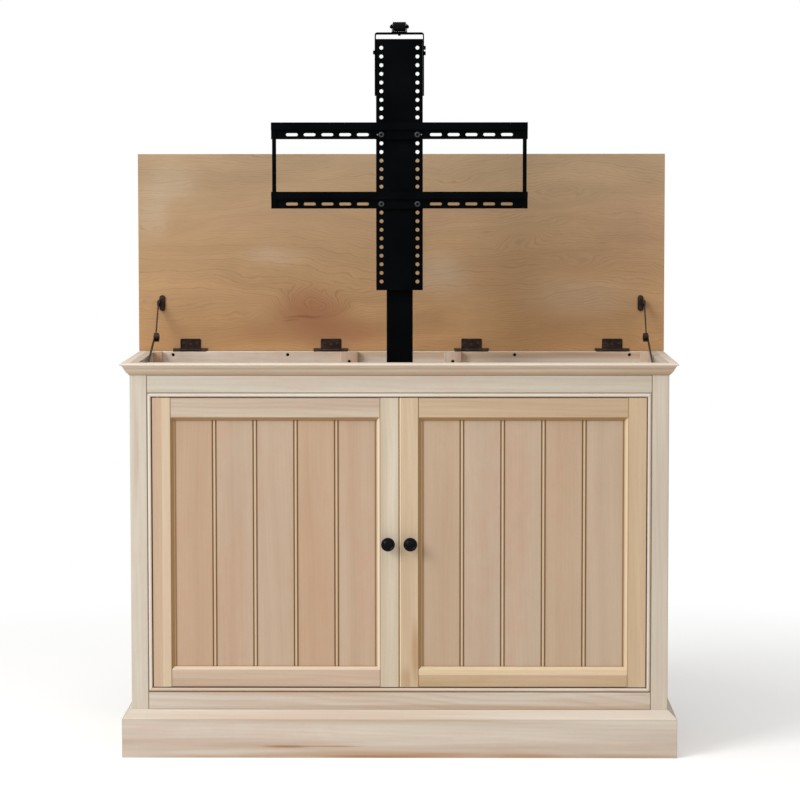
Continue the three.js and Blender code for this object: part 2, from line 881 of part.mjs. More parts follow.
// Stays: the pad hangs the upper arm from the lid, and the bracket holds the lower arm on the
// side. From the side inward lie the bracket, the lower arm, the upper arm and the pad's lug.
const stayLidPin = [lidFace - stayPivotDrop, hingeAxisZ + stayLidPivot];
const staySidePin = [staySidePivotY, cabinetHeight - staySidePivotDrop];
const lowerArmFar = sideInner - stayBracketThickness - stayFit - stayRivetHeight;
const lowerArmNear = lowerArmFar - stayArmThickness;
const upperArmFar = lowerArmNear - stayFit;
const upperArmNear = upperArmFar - stayArmThickness;
const lugFar = upperArmNear - stayFit;
const stayKnuckle = kneeOf(stayLidPin, staySidePin);

// The knee between two pivots, on the lower side of the line that joins them.
function kneeOf([y0, z0], [y1, z1]) {
  const span = Math.hypot(y1 - y0, z1 - z0);
  const lower = span + staySlack - stayUpperLength;
  const along = (stayUpperLength ** 2 - lower ** 2 + span ** 2) / (2 * span);
  const off = Math.sqrt(Math.max(0, stayUpperLength ** 2 - along ** 2));
  const [dy, dz] = [(y1 - y0) / span, (z1 - z0) / span];
  return [y0 + dy * along - dz * off, z0 + dz * along + dy * off];
}

// A flat bar with a round eye at each end.
function stayArm([y0, z0], [y1, z1], x0, x1) {
  const span = Math.hypot(y1 - y0, z1 - z0);
  const [dy, dz] = [((y1 - y0) / span) * stayArmHalfWidth, ((z1 - z0) / span) * stayArmHalfWidth];
  const strip = [
    [y0 - dz, z0 + dy],
    [y1 - dz, z1 + dy],
    [y1 + dz, z1 - dy],
    [y0 + dz, z0 - dy],
  ];
  return joined(
    alongX(strip, x0, x1),
    rodX(y0, z0, stayEyeRadius, x0, x1, smallSides),
    rodX(y1, z1, stayEyeRadius, x0, x1, smallSides),
  );
}

function lidPad(side) {
  const [y, z] = stayLidPin;
  const half = stayPadLength / 2;
  const [x0, x1] = across(side, lugFar - stayPadWidth, lugFar);
  const pad = alongY(
    rounded(x0, z - half, x1, z + half, stayPadWidth / 2),
    lidFace - stayPadThickness,
    lidFace,
  );
  const lug = alongX(
    [
      [lidFace - stayPadThickness, z - stayEyeRadius],
      [lidFace - stayPadThickness, z + stayEyeRadius],
      ...arc(y, z, stayEyeRadius, 90, 270, 2 * curveSteps),
    ],
    ...across(side, lugFar - stayLugThickness, lugFar),
  );
  const headNear = upperArmFar + stayFit;
  const headFar = headNear + stayRivetHeight;
  const pin = rodX(y, z, stayPinRadius, ...across(side, lugFar - stayLugThickness / 2, headFar));
  const head = rodX(y, z, stayRivetRadius, ...across(side, headNear, headFar), smallSides);
  return part(sideName(side) + "_stay_lid_pad", joined(pad, lug, pin, head), darkBronze);
}

function upperArm(side) {
  const arm = stayArm(stayLidPin, stayKnuckle, ...across(side, upperArmNear, upperArmFar));
  const [y, z] = stayKnuckle;
  const drumNear = upperArmNear - stayKnuckleProud;
  const drum = rodX(y, z, stayKnuckleRadius, ...across(side, drumNear, upperArmFar), roundSides);
  const reach = across(side, drumNear - stayRivetHeight, drumNear + stayRivetHeight);
  const rivet = rodX(y, z, stayRivetRadius, ...reach, smallSides);
  const ends = across(side, upperArmNear - overrun, upperArmFar + overrun);
  const eye = rodX(...stayLidPin, stayPinRadius + stayPinFit, ...ends);
  return part(sideName(side) + "_stay_upper_arm", cut(arm, eye).add(joined(drum, rivet)), darkBronze);
}

function lowerArm(side) {
  const arm = stayArm(staySidePin, stayKnuckle, ...across(side, lowerArmNear, lowerArmFar));
  const ends = across(side, lowerArmNear - overrun, lowerArmFar + overrun);
  const eye = rodX(...staySidePin, stayPinRadius + stayPinFit, ...ends);
  const [y, z] = stayKnuckle;
  const reach = across(side, lowerArmNear, lowerArmFar);
  const cheek = rodX(y, z, stayKnuckleRadius, ...reach, roundSides);
  const headReach = across(side, lowerArmFar - stayRivetHeight, lowerArmFar + stayRivetHeight);
  const rivet = rodX(y, z, stayRivetRadius, ...headReach, smallSides);
  return part(sideName(side) + "_stay_lower_arm", cut(arm, eye).add(joined(cheek, rivet)), darkBronze);
}

function sideBracket(side) {
  const [y, z] = staySidePin;
  const [halfLength, halfHeight] = [stayBracketLength / 2, stayBracketHeight / 2];
  const plateNear = sideInner - stayBracketThickness;
  const plate = alongX(
    rounded(y - halfLength, z - halfHeight, y + halfLength, z + halfHeight, stayBracketCorner),
    ...across(side, plateNear, sideInner),
  );
  const boss = rodX(
    y,
    z,
    stayBossRadius,
    ...across(side, lowerArmFar + stayFit, sideInner - stayFit),
    smallSides,
  );
  const headFar = lowerArmNear - stayFit;
  const headNear = headFar - stayRivetHeight;
  const pin = rodX(y, z, stayPinRadius, ...across(side, headNear, plateNear));
  const head = rodX(y, z, stayRivetRadius, ...across(side, headNear, headFar), smallSides);
  return part(sideName(side) + "_stay_side_bracket", joined(plate, boss, pin, head), darkBronze);
}

// Mast tubes. Each is a rounded box section with a sliding collar round the next tube.
function tube(width, depth, low, high) {
  const [x, y] = [width / 2, depth / 2];
  const inner = tubeCorner - tubeWall;
  return alongZ(
    rounded(-x, mastCentreY - y, x, mastCentreY + y, tubeCorner, easeSteps),
    low,
    high,
    rounded(
      tubeWall - x,
      mastCentreY - y + tubeWall,
      x - tubeWall,
      mastCentreY + y - tubeWall,
      inner,
      easeSteps,
    ),
  );
}

function collar(width, depth, innerWidth, innerDepth, low, high) {
  const [x, y] = [width / 2, depth / 2];
  const [u, v] = [innerWidth / 2 + collarFit, innerDepth / 2 + collarFit];
  return alongZ(
    rounded(-x, mastCentreY - y, x, mastCentreY + y, tubeCorner, easeSteps),
    low,
    high,
    rounded(-u, mastCentreY - v, u, mastCentreY + v, tubeCorner, easeSteps),
  );
}

function outerColumn() {
  const halfWidth = footWidth / 2;
  const foot = alongZ(
    rounded(-halfWidth, footFront, halfWidth, footFront + footDepth, footCorner),
    bottomTop,
    footTop,
  );
  const column = tube(outerTubeWidth, outerTubeDepth, footTop - footThickness / 2, outerTubeTop);
  const ring = collar(
    outerTubeWidth + 2 * collarProud,
    outerTubeDepth + 2 * collarProud,
    middleTubeWidth,
    middleTubeDepth,
    outerTubeTop - collarHeight,
    collarTop,
  );
  const holes = sides.flatMap((side) =>
    [footFront + footHoleInset, footFront + footDepth - footHoleInset].map((y) =>
      rodZ(
        side * (halfWidth - footHoleInset),
        y,
        footHoleRadius,
        bottomTop - overrun,
        footTop + overrun,
      ),
    ),
  );
  return part("outer_column", cut(joined(foot, column, ring), ...holes), blackSteel);
}

function liftMotor() {
  const front = mastCentreY + outerTubeDepth / 2 + collarProud + motorGap;
  const [x, back] = [gearboxWidth / 2, front + gearboxDepth];
  const centre = (front + back) / 2;
  const gearboxTop = footTop + gearboxHeight;
  const motorTop = gearboxTop + motorLength;
  const gearbox = alongZ(rounded(-x, front, x, back, gearboxCorner), footTop, gearboxTop);
  const body = rodZ(0, centre, motorRadius, gearboxTop - overrun, motorTop, roundSides);
  const cap = rodZ(
    0,
    centre,
    motorCapRadius,
    motorTop - overrun,
    motorTop + motorCapHeight,
    roundSides,
  );
  return part("lift_motor", joined(gearbox, body, cap), blackSteel);
}

function middleColumn() {
  const low = footTop + stageRise + liftStroke / 2;
  const high = low + outerTubeLength;
  const column = tube(middleTubeWidth, middleTubeDepth, low, high);
  const ring = collar(
    middleTubeWidth,
    middleTubeDepth,
    innerTubeWidth,
    innerTubeDepth,
    high - collarHeight,
    high + stageRise / 4,
  );
  return part("middle_column", joined(column, ring), blackSteel);
}

// The inner tube ends in a block that holds it to the back of the screen plate.
function innerColumn() {
  const low = footTop + 2 * stageRise + liftStroke;
  const blockLow = collarTop + 2 * stageRise + liftStroke;
  const blockHigh = blockLow + headBlockHeight;
  const column = tube(innerTubeWidth, innerTubeDepth, low, blockHigh);
  const half = headBlockWidth / 2;
  const block = box(
    -half,
    half,
    plateBackY,
    mastCentreY - innerTubeDepth / 2 + tubeWall / 2,
    blockLow,
    blockHigh,
  );
  return part("inner_column", joined(column, block), blackSteel);
}

// Screen plate: a channel folded back at both sides, with two rows of holes.
function screenPlate() {
  const half = plateWidth / 2;
  const back = plateFrontY + plateDepth;
  const bendInner = plateBend - plateWall;
  const outline = [
    ...arc(-half + plateBend, plateFrontY + plateBend, plateBend, 180, 270),
    ...arc(half - plateBend, plateFrontY + plateBend, plateBend, 270, 360),
    [half, back],
    [half - plateWall, back],
    ...arc(half - plateBend, plateFrontY + plateBend, bendInner, 360, 270, easeSteps),
    ...arc(-half + plateBend, plateFrontY + plateBend, bendInner, 270, 180, easeSteps),
    [plateWall - half, back],
    [-half, back],
  ];
  const holes = sides.flatMap((side) =>
    Array.from({ length: plateHoleCount }, (_, i) =>
      rodY(
        side * plateHoleOffset,
        holeHeight(i),
        plateHoleRadius,
        plateFrontY - overrun,
        plateBackY + overrun,
      ),
    ),
  );
  return part("screen_plate", cut(solid(alongZ(outline, plateBottom, plateTop)), ...holes), blackSteel);
}

function holeHeight(index) {
  return plateTop - plateHoleMargin - index * holePitch;
}

// Screen frame: two stepped rails with slots, two end bars, and the bolts that clamp the
// rails to the plate.
function frameRail(height) {
  const low = height - frameSlotRise;
  const high = low + frameRailHeight;
  const step = high - frameBandHeight;
  const front = plateFrontY - frameRailDepth;
  const outline = [
    [front + frameStepDepth, low],
    [front + frameStepDepth + frameWall, low],
    [front + frameStepDepth + frameWall, step + frameWall],
    [front + frameWall, step + frameWall],
    [front + frameWall, high - frameWall],
    [plateFrontY, high - frameWall],
    [plateFrontY, high],
    [front, high],
    [front, step],
    [front + frameStepDepth, step],
  ];
  const slots = sides.flatMap((side) =>
    Array.from({ length: frameSlotCount }, (_, i) => {
      const x = side * (frameSlotOffset + i * frameSlotPitch);
      return slot(x, height, front + frameStepDepth - overrun, front + frameStepDepth + frameWall + overrun);
    }),
  );
  const half = frameRailLength / 2;
  return cut(solid(alongX(outline, -half, half)), ...slots);
}

function slot(x, z, start, end) {
  const [halfLength, halfHeight] = [frameSlotLength / 2, frameSlotHeight / 2];
  return alongY(
    rounded(x - halfLength, z - halfHeight, x + halfLength, z + halfHeight, halfHeight, slotSteps),
    start,
    end,
  );
}

function frameBolts(height) {
  const bandFace = plateFrontY - frameRailDepth + frameStepDepth;
  return sides.flatMap((side) => {
    const x = side * plateHoleOffset;
    return [
      rodY(x, height, boltHeadRadius, bandFace - boltHeadHeight, bandFace + overrun / 2, smallSides),
      rodY(x, height, boltRadius, bandFace, plateBackY + nutHeight),
      rodY(x, height, nutRadius, plateBackY, plateBackY + nutHeight, holeSides / 2),
    ];
  });
}

function screenFrame() {
  const heights = [holeHeight(upperRailHole), holeHeight(lowerRailHole)];
  const back = plateFrontY - frameRailDepth + frameWall;
  const top = heights[0] - frameSlotRise + frameRailHeight - frameWall / 2;
  const endBarOuter = frameRailLength / 2 - endBarInset;
  const bars = sides.map((side) =>
    box(
      ...across(side, endBarOuter - endBarWidth, endBarOuter),
      back,
      back + endBarDepth,
      heights[1] - frameSlotRise,
      top,
    ),
  );
  const rails = heights.map(frameRail).reduce((whole, rail) => whole.add(rail), solid(bars[0]));
  const pieces = [bars[1], ...heights.flatMap(frameBolts)].map(solid);
  return part("screen_frame", pieces.reduce((whole, piece) => whole.add(piece), rails), blackSteel);
}

// A strap bridges the plate's top with one leg down each side. It carries a fork and axle.
function rollerBracket() {
  const inner = plateWidth / 2 + strapFit;
  const outer = inner + strapLegThickness;
  const under = strapTop - strapTopThickness;
  const low = strapTop - strapLegLength;
  const bendInner = Math.max(0, strapBend - strapTopThickness);
  const strap = alongY(
    [
      [-outer, low],
      [-inner, low],
      ...arc(-inner + bendInner, under - bendInner, bendInner, 180, 90, easeSteps),
      ...arc(inner - bendInner, under - bendInner, bendInner, 90, 0, easeSteps),
      [inner, low],
      [outer, low],
      ...arc(outer - strapBend, strapTop - strapBend, strapBend, 0, 90),
      ...arc(-outer + strapBend, strapTop - strapBend, strapBend, 90, 180),
    ],
    plateFrontY,
    plateFrontY + strapDepth,
  );
  const footTopZ = strapTop + rollerFootThickness;
  const foot = box(
    -rollerFootLength / 2,
    rollerFootLength / 2,
    rollerY - earHalfWidth,
    rollerY + earHalfWidth,
    strapTop - overrun,
    footTopZ,
  );
  const lip = box(
    -rollerFootLength / 2,
    rollerFootLength / 2,
    rollerY + earHalfWidth - rollerLipThickness,
    rollerY + earHalfWidth,
    strapTop - overrun,
    strapTop + rollerLipHeight,
  );
  const bolt = rodZ(
    0,
    rollerY,
    strapBoltRadius,
    under - strapBoltHeight,
    under + overrun,
    holeSides / 2,
  );
  const screws = sides.flatMap((side) =>
    thumbScrewDrops[sideName(side)].map((drop) =>
      rodX(
        rollerY,
        strapTop - drop,
        thumbScrewRadius,
        ...across(side, outer - strapLegThickness / 2, outer + thumbScrewLength),
        smallSides,
      ),
    ),
  );
  return part(
    "roller_bracket",
    joined(strap, foot, lip, bolt, ...screws, ...sides.flatMap(rollerEar), rollerAxle()),
    blackSteel,
  );
}

function rollerEar(side) {
  const near = rollerLength / 2 + rollerFit;
  const far = near + earThickness;
  const ear = alongX(
    [
      [rollerY - earHalfWidth, strapTop],
      [rollerY + earHalfWidth, strapTop],
      ...arc(rollerY, rollerZ, earHalfWidth, 0, 180, 2 * curveSteps),
    ],
    ...across(side, near, far),
  );
  const head = rodX(
    rollerY,
    rollerZ,
    axleHeadRadius,
    ...across(side, far - rollerFit, far + axleHeadLength),
    holeSides / 2,
  );
  return [ear, head];
}

function rollerAxle() {
  const half = rollerLength / 2 + rollerFit + earThickness + axleHeadLength + axleTipLength;
  return rodX(rollerY, rollerZ, axleRadius, -half, half);
}

function lidRoller() {
  const half = rollerLength / 2;
  const bore = axleRadius + rollerFit;
  const profile = [
    [bore, -half],
    [rollerRadius - rollerEdge, -half],
    [rollerRadius, rollerEdge - half],
    [rollerRadius, half - rollerEdge],
    [rollerRadius - rollerEdge, half],
    [bore, half],
    [bore, -half],
  ].map(([r, along]) => new THREE.Vector2(r, along));
  const roller = new THREE.LatheGeometry(profile, roundSides);
  roller.rotateZ(Math.PI / 2).translate(0, rollerY, rollerZ);
  return part("lid_roller", solid(roller), blackRubber);
}

// Assembly
function carcass() {
  const crown = crownOutline();
  const plinth = plinthOutline();
  const crownBase = cabinetHeight - crownHeight;
  return [
    bottomPanel(),
    ...sides.map(sidePanel),
    backPanel(),
    rearTopRail(),
    ...sides.map(rearPost),
    ...sides.map(cornerPost),
    ...sides.map(faceStile),
    faceRail("face_frame_top_rail", topRailUnder, cabinetHeight, topRailUnder, -1),
    faceRail(
      "face_frame_bottom_rail",
      plinthHeight - bottomRailHidden,
      bottomRailTop,
      bottomRailTop,
      1,
    ),
    frontMoulding("crown_front", crown, crownBase),
    ...sides.map((side) => sideMoulding("crown_" + sideName(side), side, crown, crownBase)),
    frontMoulding("plinth_front", plinth, 0),
    ...sides.map((side) => sideMoulding("plinth_" + sideName(side), side, plinth, 0)),
  ];
}

function stays() {
  return sides.flatMap((side) => [
    lidPad(side),
    upperArm(side),
    lowerArm(side),
    sideBracket(side),
  ]);
}

function lift() {
  return [
    outerColumn(),
    liftMotor(),
    middleColumn(),
    innerColumn(),
    screenPlate(),
    screenFrame(),
    rollerBracket(),
    lidRoller(),
  ];
}

const group = new THREE.Group();
group.add(...carcass(), ...sides.flatMap(door), lidPanel(), ...lidHinges(), ...stays(), ...lift());
group.position.y = -(frontmost + rearmost) / 2;
export default group;
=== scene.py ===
import math
from functools import partial
import bpy
from mathutils import Matrix, Vector


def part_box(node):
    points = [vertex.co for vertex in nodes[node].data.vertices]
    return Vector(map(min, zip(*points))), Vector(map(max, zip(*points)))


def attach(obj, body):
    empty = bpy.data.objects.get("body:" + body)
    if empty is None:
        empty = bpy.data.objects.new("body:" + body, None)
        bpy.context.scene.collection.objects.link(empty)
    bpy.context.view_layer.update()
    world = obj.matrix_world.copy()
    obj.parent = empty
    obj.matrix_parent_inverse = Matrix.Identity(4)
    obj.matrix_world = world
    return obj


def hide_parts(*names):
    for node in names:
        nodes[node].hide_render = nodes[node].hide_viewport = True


# Dresses the television lift cabinet: unfinished sanded maple with a birch veneered lid, oiled
# bronze hinges and stays, a black powder coated mast, and small turned black knobs.
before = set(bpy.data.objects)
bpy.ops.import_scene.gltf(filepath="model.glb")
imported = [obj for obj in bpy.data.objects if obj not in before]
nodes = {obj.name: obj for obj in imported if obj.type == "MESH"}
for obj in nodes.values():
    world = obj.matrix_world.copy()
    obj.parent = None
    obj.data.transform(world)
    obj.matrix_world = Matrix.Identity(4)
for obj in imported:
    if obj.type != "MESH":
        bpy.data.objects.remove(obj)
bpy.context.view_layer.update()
scene = bpy.context.scene
scene.view_settings.view_transform = "Standard"
frontPlane = -0.244875  # where the cabinet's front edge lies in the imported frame
print("loaded", len(nodes), "CAD nodes")


# Colours, nodes and materials
def linear(hexText):
    parts = [int(hexText[i : i + 2], 16) / 255 for i in (1, 3, 5)]
    return tuple(p / 12.92 if p <= 0.04045 else ((p + 0.055) / 1.055) ** 2.4 for p in parts) + (1.0,)


def addNode(tree, kind, settings=(), links=()):
    # A shader's nodes go by their short names.
    node = tree.nodes.new(("ShaderNode" if tree.type == "SHADER" else "") + kind)
    for key, value in dict(settings).items():
        if key == "stops":
            while len(node.color_ramp.elements) < len(value):
                node.color_ramp.elements.new(1.0)
            for element, (position, tone) in zip(node.color_ramp.elements, value):
                element.position = position
                element.color = linear(tone) if isinstance(tone, str) else (tone, tone, tone, 1.0)
        elif isinstance(key, int) or key in node.inputs:
            node.inputs[key].default_value = value
        else:
            setattr(node, key, value)
    feed(node, links)
    return node


def feed(node, links):
    # A link starts at a socket, or at a node's first output.
    for key, source in dict(links).items():
        socket = source.outputs[0] if isinstance(source, bpy.types.Node) else source
        node.id_data.links.new(socket, node.inputs[key])


def startMaterial(name):
    material = bpy.data.materials.new(name)
    material.use_nodes = True
    add = partial(addNode, material.node_tree)
    return material, add, material.node_tree.nodes["Principled BSDF"], add("TexCoord")


def stretchedNoise(add, source, stretch, settings):
    scaled = add("VectorMath", {"operation": "MULTIPLY", 1: stretch}, {0: source})
    return add("TexNoise", {"Scale": 1.0, **settings}, {"Vector": scaled})


def dress(name, material):
    for slot in nodes[name].material_slots:
        slot.material = material


# A lens shaped spot on a face: most in its middle, and nothing at its outline, which is roamed
def nearSpot(add, roamed, roam, place, size, most, core=0.0):
    middle = (place[0] + roam[0] / 2, 0.0, place[1] + roam[2] / 2)
    off = add("VectorMath", {"operation": "SUBTRACT", 1: middle}, {0: roamed})
    stretch = (1000 / size[0], 0.0, 1000 / size[1])
    scaled = add("VectorMath", {"operation": "MULTIPLY", 1: stretch}, {0: off})
    away = add("VectorMath", {"operation": "LENGTH"}, {0: scaled})
    fading = {"interpolation_type": "SMOOTHSTEP", 1: core, 2: 1.0, 3: most, 4: 0.0}
    return add("MapRange", fading, {0: away.outputs["Value"]})


# Unfinished maple, planed and sanded: soft pink, cream and greyish bands along the board, faint
# growth rings round a pith that lies outside it, now and then a brown mineral streak, and fine
# pores. Matt, with hardly a highlight. Thin brown lines along the joints are painted shade, with a
# little dust in them.
mapleBoard = {
    "ringSpacing": 0.0075, "ringContrast": 0.10, "ringWander": 0.030, "fibreContrast": 0.045,
    "poreContrast": 0.08, "endGrainShade": 0.84, "endGrainFrom": [(0.72, 0.0), (0.9, 1.0)],
    "endGrainRings": 3.0, "roughness": 0.64, "roughnessSpread": 0.05, "specular": 0.25,
    "bump": {"Strength": 0.2, "Distance": 0.0003}, "tones": ("#dccfbe", "#d1c4b3", "#c7b5a1"),
    "toneSteps": (0.64, 0.5, 0.36), "late": "#b39a80",
    "lateSteps": [(0.0, 0.4), (0.15, 0.0), (0.5, 0.15), (0.85, 1.0), (1.0, 0.4)], "yearScale": 0.31,
    "yearShare": 0.35, "blush": "#cfae99", "blushAmount": 0.35, "blushRange": (0.48, 0.68),
    "mottleShare": 0.35, "streak": "#a87f5c", "streakFrom": 0.60, "streakRise": 0.12,
    "streakAmount": 0.10, "pith": (0.05, 0.08), "lean": (0.006, 0.014), "joint": "#7a4f26",
    "jointShadeAmount": 0.8, "jointShadeWidth": 2.0, "jointShadeSoftness": 0.9, "markRoam": (0.03, 0.0, 0.012),
    "markCore": 0.2,
    "seedStep": (1.37, 0.73, 0.41),  # how far a seed of one moves the pattern, in metres
    "bands": (1.1, 21.0),
    # how many to the metre along and across the board, then the detail and the distortion
    "noises": {
        "wander": (2.1, 6.5, 2.0, 0.0), "blush": (1.6, 9.0, 2.0, 0.5), "mottle": (26.0, 46.0, 2.0, 0.4),
        "streaks": (0.85, 26.0, 3.0, 0.5), "fibres": (8.0, 300.0, 3.0, 0.0),
        "pores": (150.0, 1500.0, 0.0, 0.0),
    },
}


def boardMaterial(name, box, look, planks=None):
    look = {**mapleBoard, **look}
    grain, seed = look["grain"], look["seed"]
    material, add, shader, place = startMaterial(name)
    middle = (box[0] + box[1]) / 2
    centred = add("VectorMath", {"operation": "SUBTRACT", 1: tuple(middle)}, {0: place.outputs["Object"]})
    parts = add("SeparateXYZ", {}, {0: centred})
    order = {"x": (0, 2, 1), "z": (2, 0, 1), "y": (1, 0, 2)}[grain]
    along, across, through = (parts.outputs[i] for i in order)
    plankTone = grooveShade = None
    if planks:
        # Each plank is a board of its own, so the count of planks to the left shifts its grain.
        counted = add(
            "Math", {"operation": "MULTIPLY_ADD", 1: 1 / planks["pitch"], 2: planks["count"] / 2},
            {0: across},
        )
        whole = add("Math", {"operation": "FLOOR"}, {0: counted})
        shift = add("Math", {"operation": "MULTIPLY_ADD", 1: planks["grainShift"]}, {0: whole, 2: along})
        drawn = add("Math", {"operation": "ADD", 1: planks["draw"]}, {0: whole})
        chance = add("TexWhiteNoise", {"noise_dimensions": "1D"}, {"W": drawn})
        sideways = add(
            "Math", {"operation": "MULTIPLY_ADD", 1: planks["grainSway"]}, {0: chance, 2: across}
        )
        warm, pale = planks["tones"]
        plankTone = add("Mix", {"data_type": "RGBA", 6: linear(warm), 7: linear(pale)}, {0: chance})
        # The grooves beside each bead get painted shade, and each bead's crest a painted highlight.
        wrapped = add("Math", {"operation": "PINGPONG", 1: 0.5}, {0: counted})
        fromBead = add(
            "Math", {"operation": "MULTIPLY", 1: planks["pitch"] / planks["grooveReach"]}, {0: wrapped}
        )
        grooveShade, crestHighlight = (
            add("ValToRGB", {"stops": planks[k]}, {0: fromBead})
            for k in ("grooveShade", "crestHighlight")
        )
        along, across = shift, sideways
    shape = add("CombineXYZ", {}, {0: along, 1: across, 2: through})
    seeded = add(
        "VectorMath", {"operation": "ADD", 1: tuple(seed * step for step in look["seedStep"])},
        {0: shape},
    )
    noises = {}
    looks = {**look["noises"], "bands": (*look["bands"], 3.0, 0.25)}
    for label, (lengthwise, crosswise, detail, distortion) in looks.items():
        stretch = (lengthwise, crosswise, crosswise)
        settings = {"Detail": detail, "Distortion": distortion}
        noises[label] = stretchedNoise(add, seeded, stretch, settings)
    pushed = add(
        "VectorMath", {"operation": "MULTIPLY_ADD", 1: (0.0, look["ringWander"], look["ringWander"])},
        {0: noises["wander"].outputs["Color"], 2: shape},
    )
    turned = add("SeparateXYZ", {}, {0: pushed})
    offsets = []
    for i in (0, 1):
        leaned = add(
            "Math", {"operation": "MULTIPLY_ADD", 1: look["lean"][i]},
            {0: turned.outputs[0], 2: turned.outputs[i + 1]},
        )
        offsets.append(add("Math", {"operation": "ADD", 1: look["pith"][i]}, {0: leaned}))
    flat = add("CombineXYZ", {0: 0.0}, {1: offsets[0], 2: offsets[1]})
    reach = add("VectorMath", {"operation": "LENGTH"}, {0: flat})
    years = add("Math", {"operation": "DIVIDE", 1: look["ringSpacing"]}, {0: reach.outputs["Value"]})
    season = add("Math", {"operation": "FRACT"}, {0: years})
    lateWood = add("ValToRGB", {"stops": look["lateSteps"]}, {0: season})
    slowYears = add("Math", {"operation": "MULTIPLY", 1: look["yearScale"]}, {0: years})
    yearTone = add("TexNoise", {"noise_dimensions": "1D", "Scale": 1.0, "Detail": 1.0}, {"W": slowYears})
    blend = add("Mix", {"data_type": "FLOAT", 0: look["yearShare"]}, {2: noises["bands"], 3: yearTone})
    stops = list(zip(look["toneSteps"], look["tones"]))[::-1]
    tone = add("ValToRGB", {"stops": stops}, {0: blend})
    if plankTone:
        tone = add(
            "Mix", {"data_type": "RGBA", 0: planks["toneShare"]}, {6: tone, 7: plankTone.outputs[2]}
        ).outputs[2]
    blushFrom = add(
        "Mix", {"data_type": "FLOAT", 0: look["mottleShare"]}, {2: noises["blush"], 3: noises["mottle"]}
    )
    blushLow, blushHigh = look["blushRange"]
    blushShare = add("MapRange", {1: blushLow, 2: blushHigh, 4: look["blushAmount"]}, {0: blushFrom})
    tone = add(
        "Mix", {"data_type": "RGBA", 7: linear(look["blush"])}, {0: blushShare, 6: tone}
    ).outputs[2]
    # The cut end shows its rings end on and drinks the light.
    facing = add("SeparateXYZ", {}, {0: place.outputs["Normal"]})
    endOn = add("Math", {"operation": "ABSOLUTE"}, {0: facing.outputs[{"x": 0, "y": 1, "z": 2}[grain]]})
    endMask = add("ValToRGB", {"stops": look["endGrainFrom"]}, {0: endOn})
    ringAmount = add(
        "MapRange", {3: look["ringContrast"], 4: look["ringContrast"] * look["endGrainRings"]},
        {0: endMask},
    )
    ringShare = add("Math", {"operation": "MULTIPLY"}, {0: lateWood, 1: ringAmount})
    streakShare = add(
        "MapRange",
        {1: look["streakFrom"], 2: look["streakFrom"] + look["streakRise"], 4: look["streakAmount"]},
        {0: noises["streaks"]},
    )
    layers = [(ringShare, look["late"]), (streakShare, look["streak"])]
    # Painted highlight on the bead crests, then painted shade in the grooves
    if grooveShade:
        layers.append((crestHighlight, planks["crestHighlightTone"]))
        layers.append((grooveShade, planks["grooveShadeTone"]))
    # Each joint gets a thin strip of painted shade, partly dust, in the joint shade tone.
    edge = look["jointShadeWidth"] / 2
    strips = [
        (axis, at - edge, at + edge, look["joint"], look["jointShadeAmount"], look["jointShadeSoftness"])
        for axis, at in look.get("joints", ())
    ]
    # Besides the joint shade, the strips paint highlights and shade along edges, gaps and stickings.
    for axis, low, high, added, amount, soft in strips + look.get("strips", []):
        i = "xyz".index(axis)
        at = (low + high) / 2000 - middle[i]
        off = add("Math", {"operation": "SUBTRACT", 1: at}, {0: parts.outputs[i]})
        gap = add("Math", {"operation": "ABSOLUTE"}, {0: off})
        half, ease = (high - low) / 2000, soft / 2000
        fading = {1: max(half - ease, 0.0), 2: half + ease, 3: amount, 4: 0.0}
        near = add("MapRange", fading, {0: gap})
        layers.append((near, added))
    marks = look.get("marks", ())
    if marks:
        # The wander of the rings roams the outlines of the marks.
        roamed = add(
            "VectorMath", {"operation": "MULTIPLY_ADD", 1: look["markRoam"]},
            {0: noises["wander"].outputs["Color"], 2: centred},
        )
    for x, z, halfWidth, halfHeight, amount, added in marks:
        at = (x / 1000 - middle.x, z / 1000 - middle.z)
        size = (halfWidth, halfHeight)
        near = nearSpot(add, roamed, look["markRoam"], at, size, amount, look["markCore"])
        layers.append((near, added))
    for share, added in layers:
        tone = add("Mix", {"data_type": "RGBA", 7: linear(added)}, {0: share, 6: tone}).outputs[2]
    fibreShade = add(
        "MapRange", {1: 0.25, 2: 0.75, 3: 1 - look["fibreContrast"], 4: 1 + look["fibreContrast"]},
        {0: noises["fibres"]},
    )
    poreShade = add(
        "MapRange", {1: 0.70, 2: 0.78, 3: 1.0, 4: 1 - look["poreContrast"]}, {0: noises["pores"]}
    )
    endShade = add("MapRange", {3: 1.0, 4: look["endGrainShade"]}, {0: endMask})
    shade = add("Math", {"operation": "MULTIPLY"}, {0: fibreShade, 1: poreShade})
    shade = add("Math", {"operation": "MULTIPLY"}, {0: shade, 1: endShade})
    final = add("VectorMath", {"operation": "SCALE"}, {0: tone, 3: shade})
    spread = look["roughnessSpread"]
    dull = add(
        "MapRange", {3: look["roughness"] - spread, 4: look["roughness"] + spread}, {0: noises["fibres"]}
    )
    shader.inputs["Specular IOR Level"].default_value = look["specular"]
    relief = add("Mix", {"data_type": "FLOAT", 0: 0.3}, {2: noises["fibres"], 3: lateWood})
    bump = add("Bump", look["bump"], {"Height": relief})
    feed(shader, {"Base Color": final, "Roughness": dull, "Normal": bump})
    return material
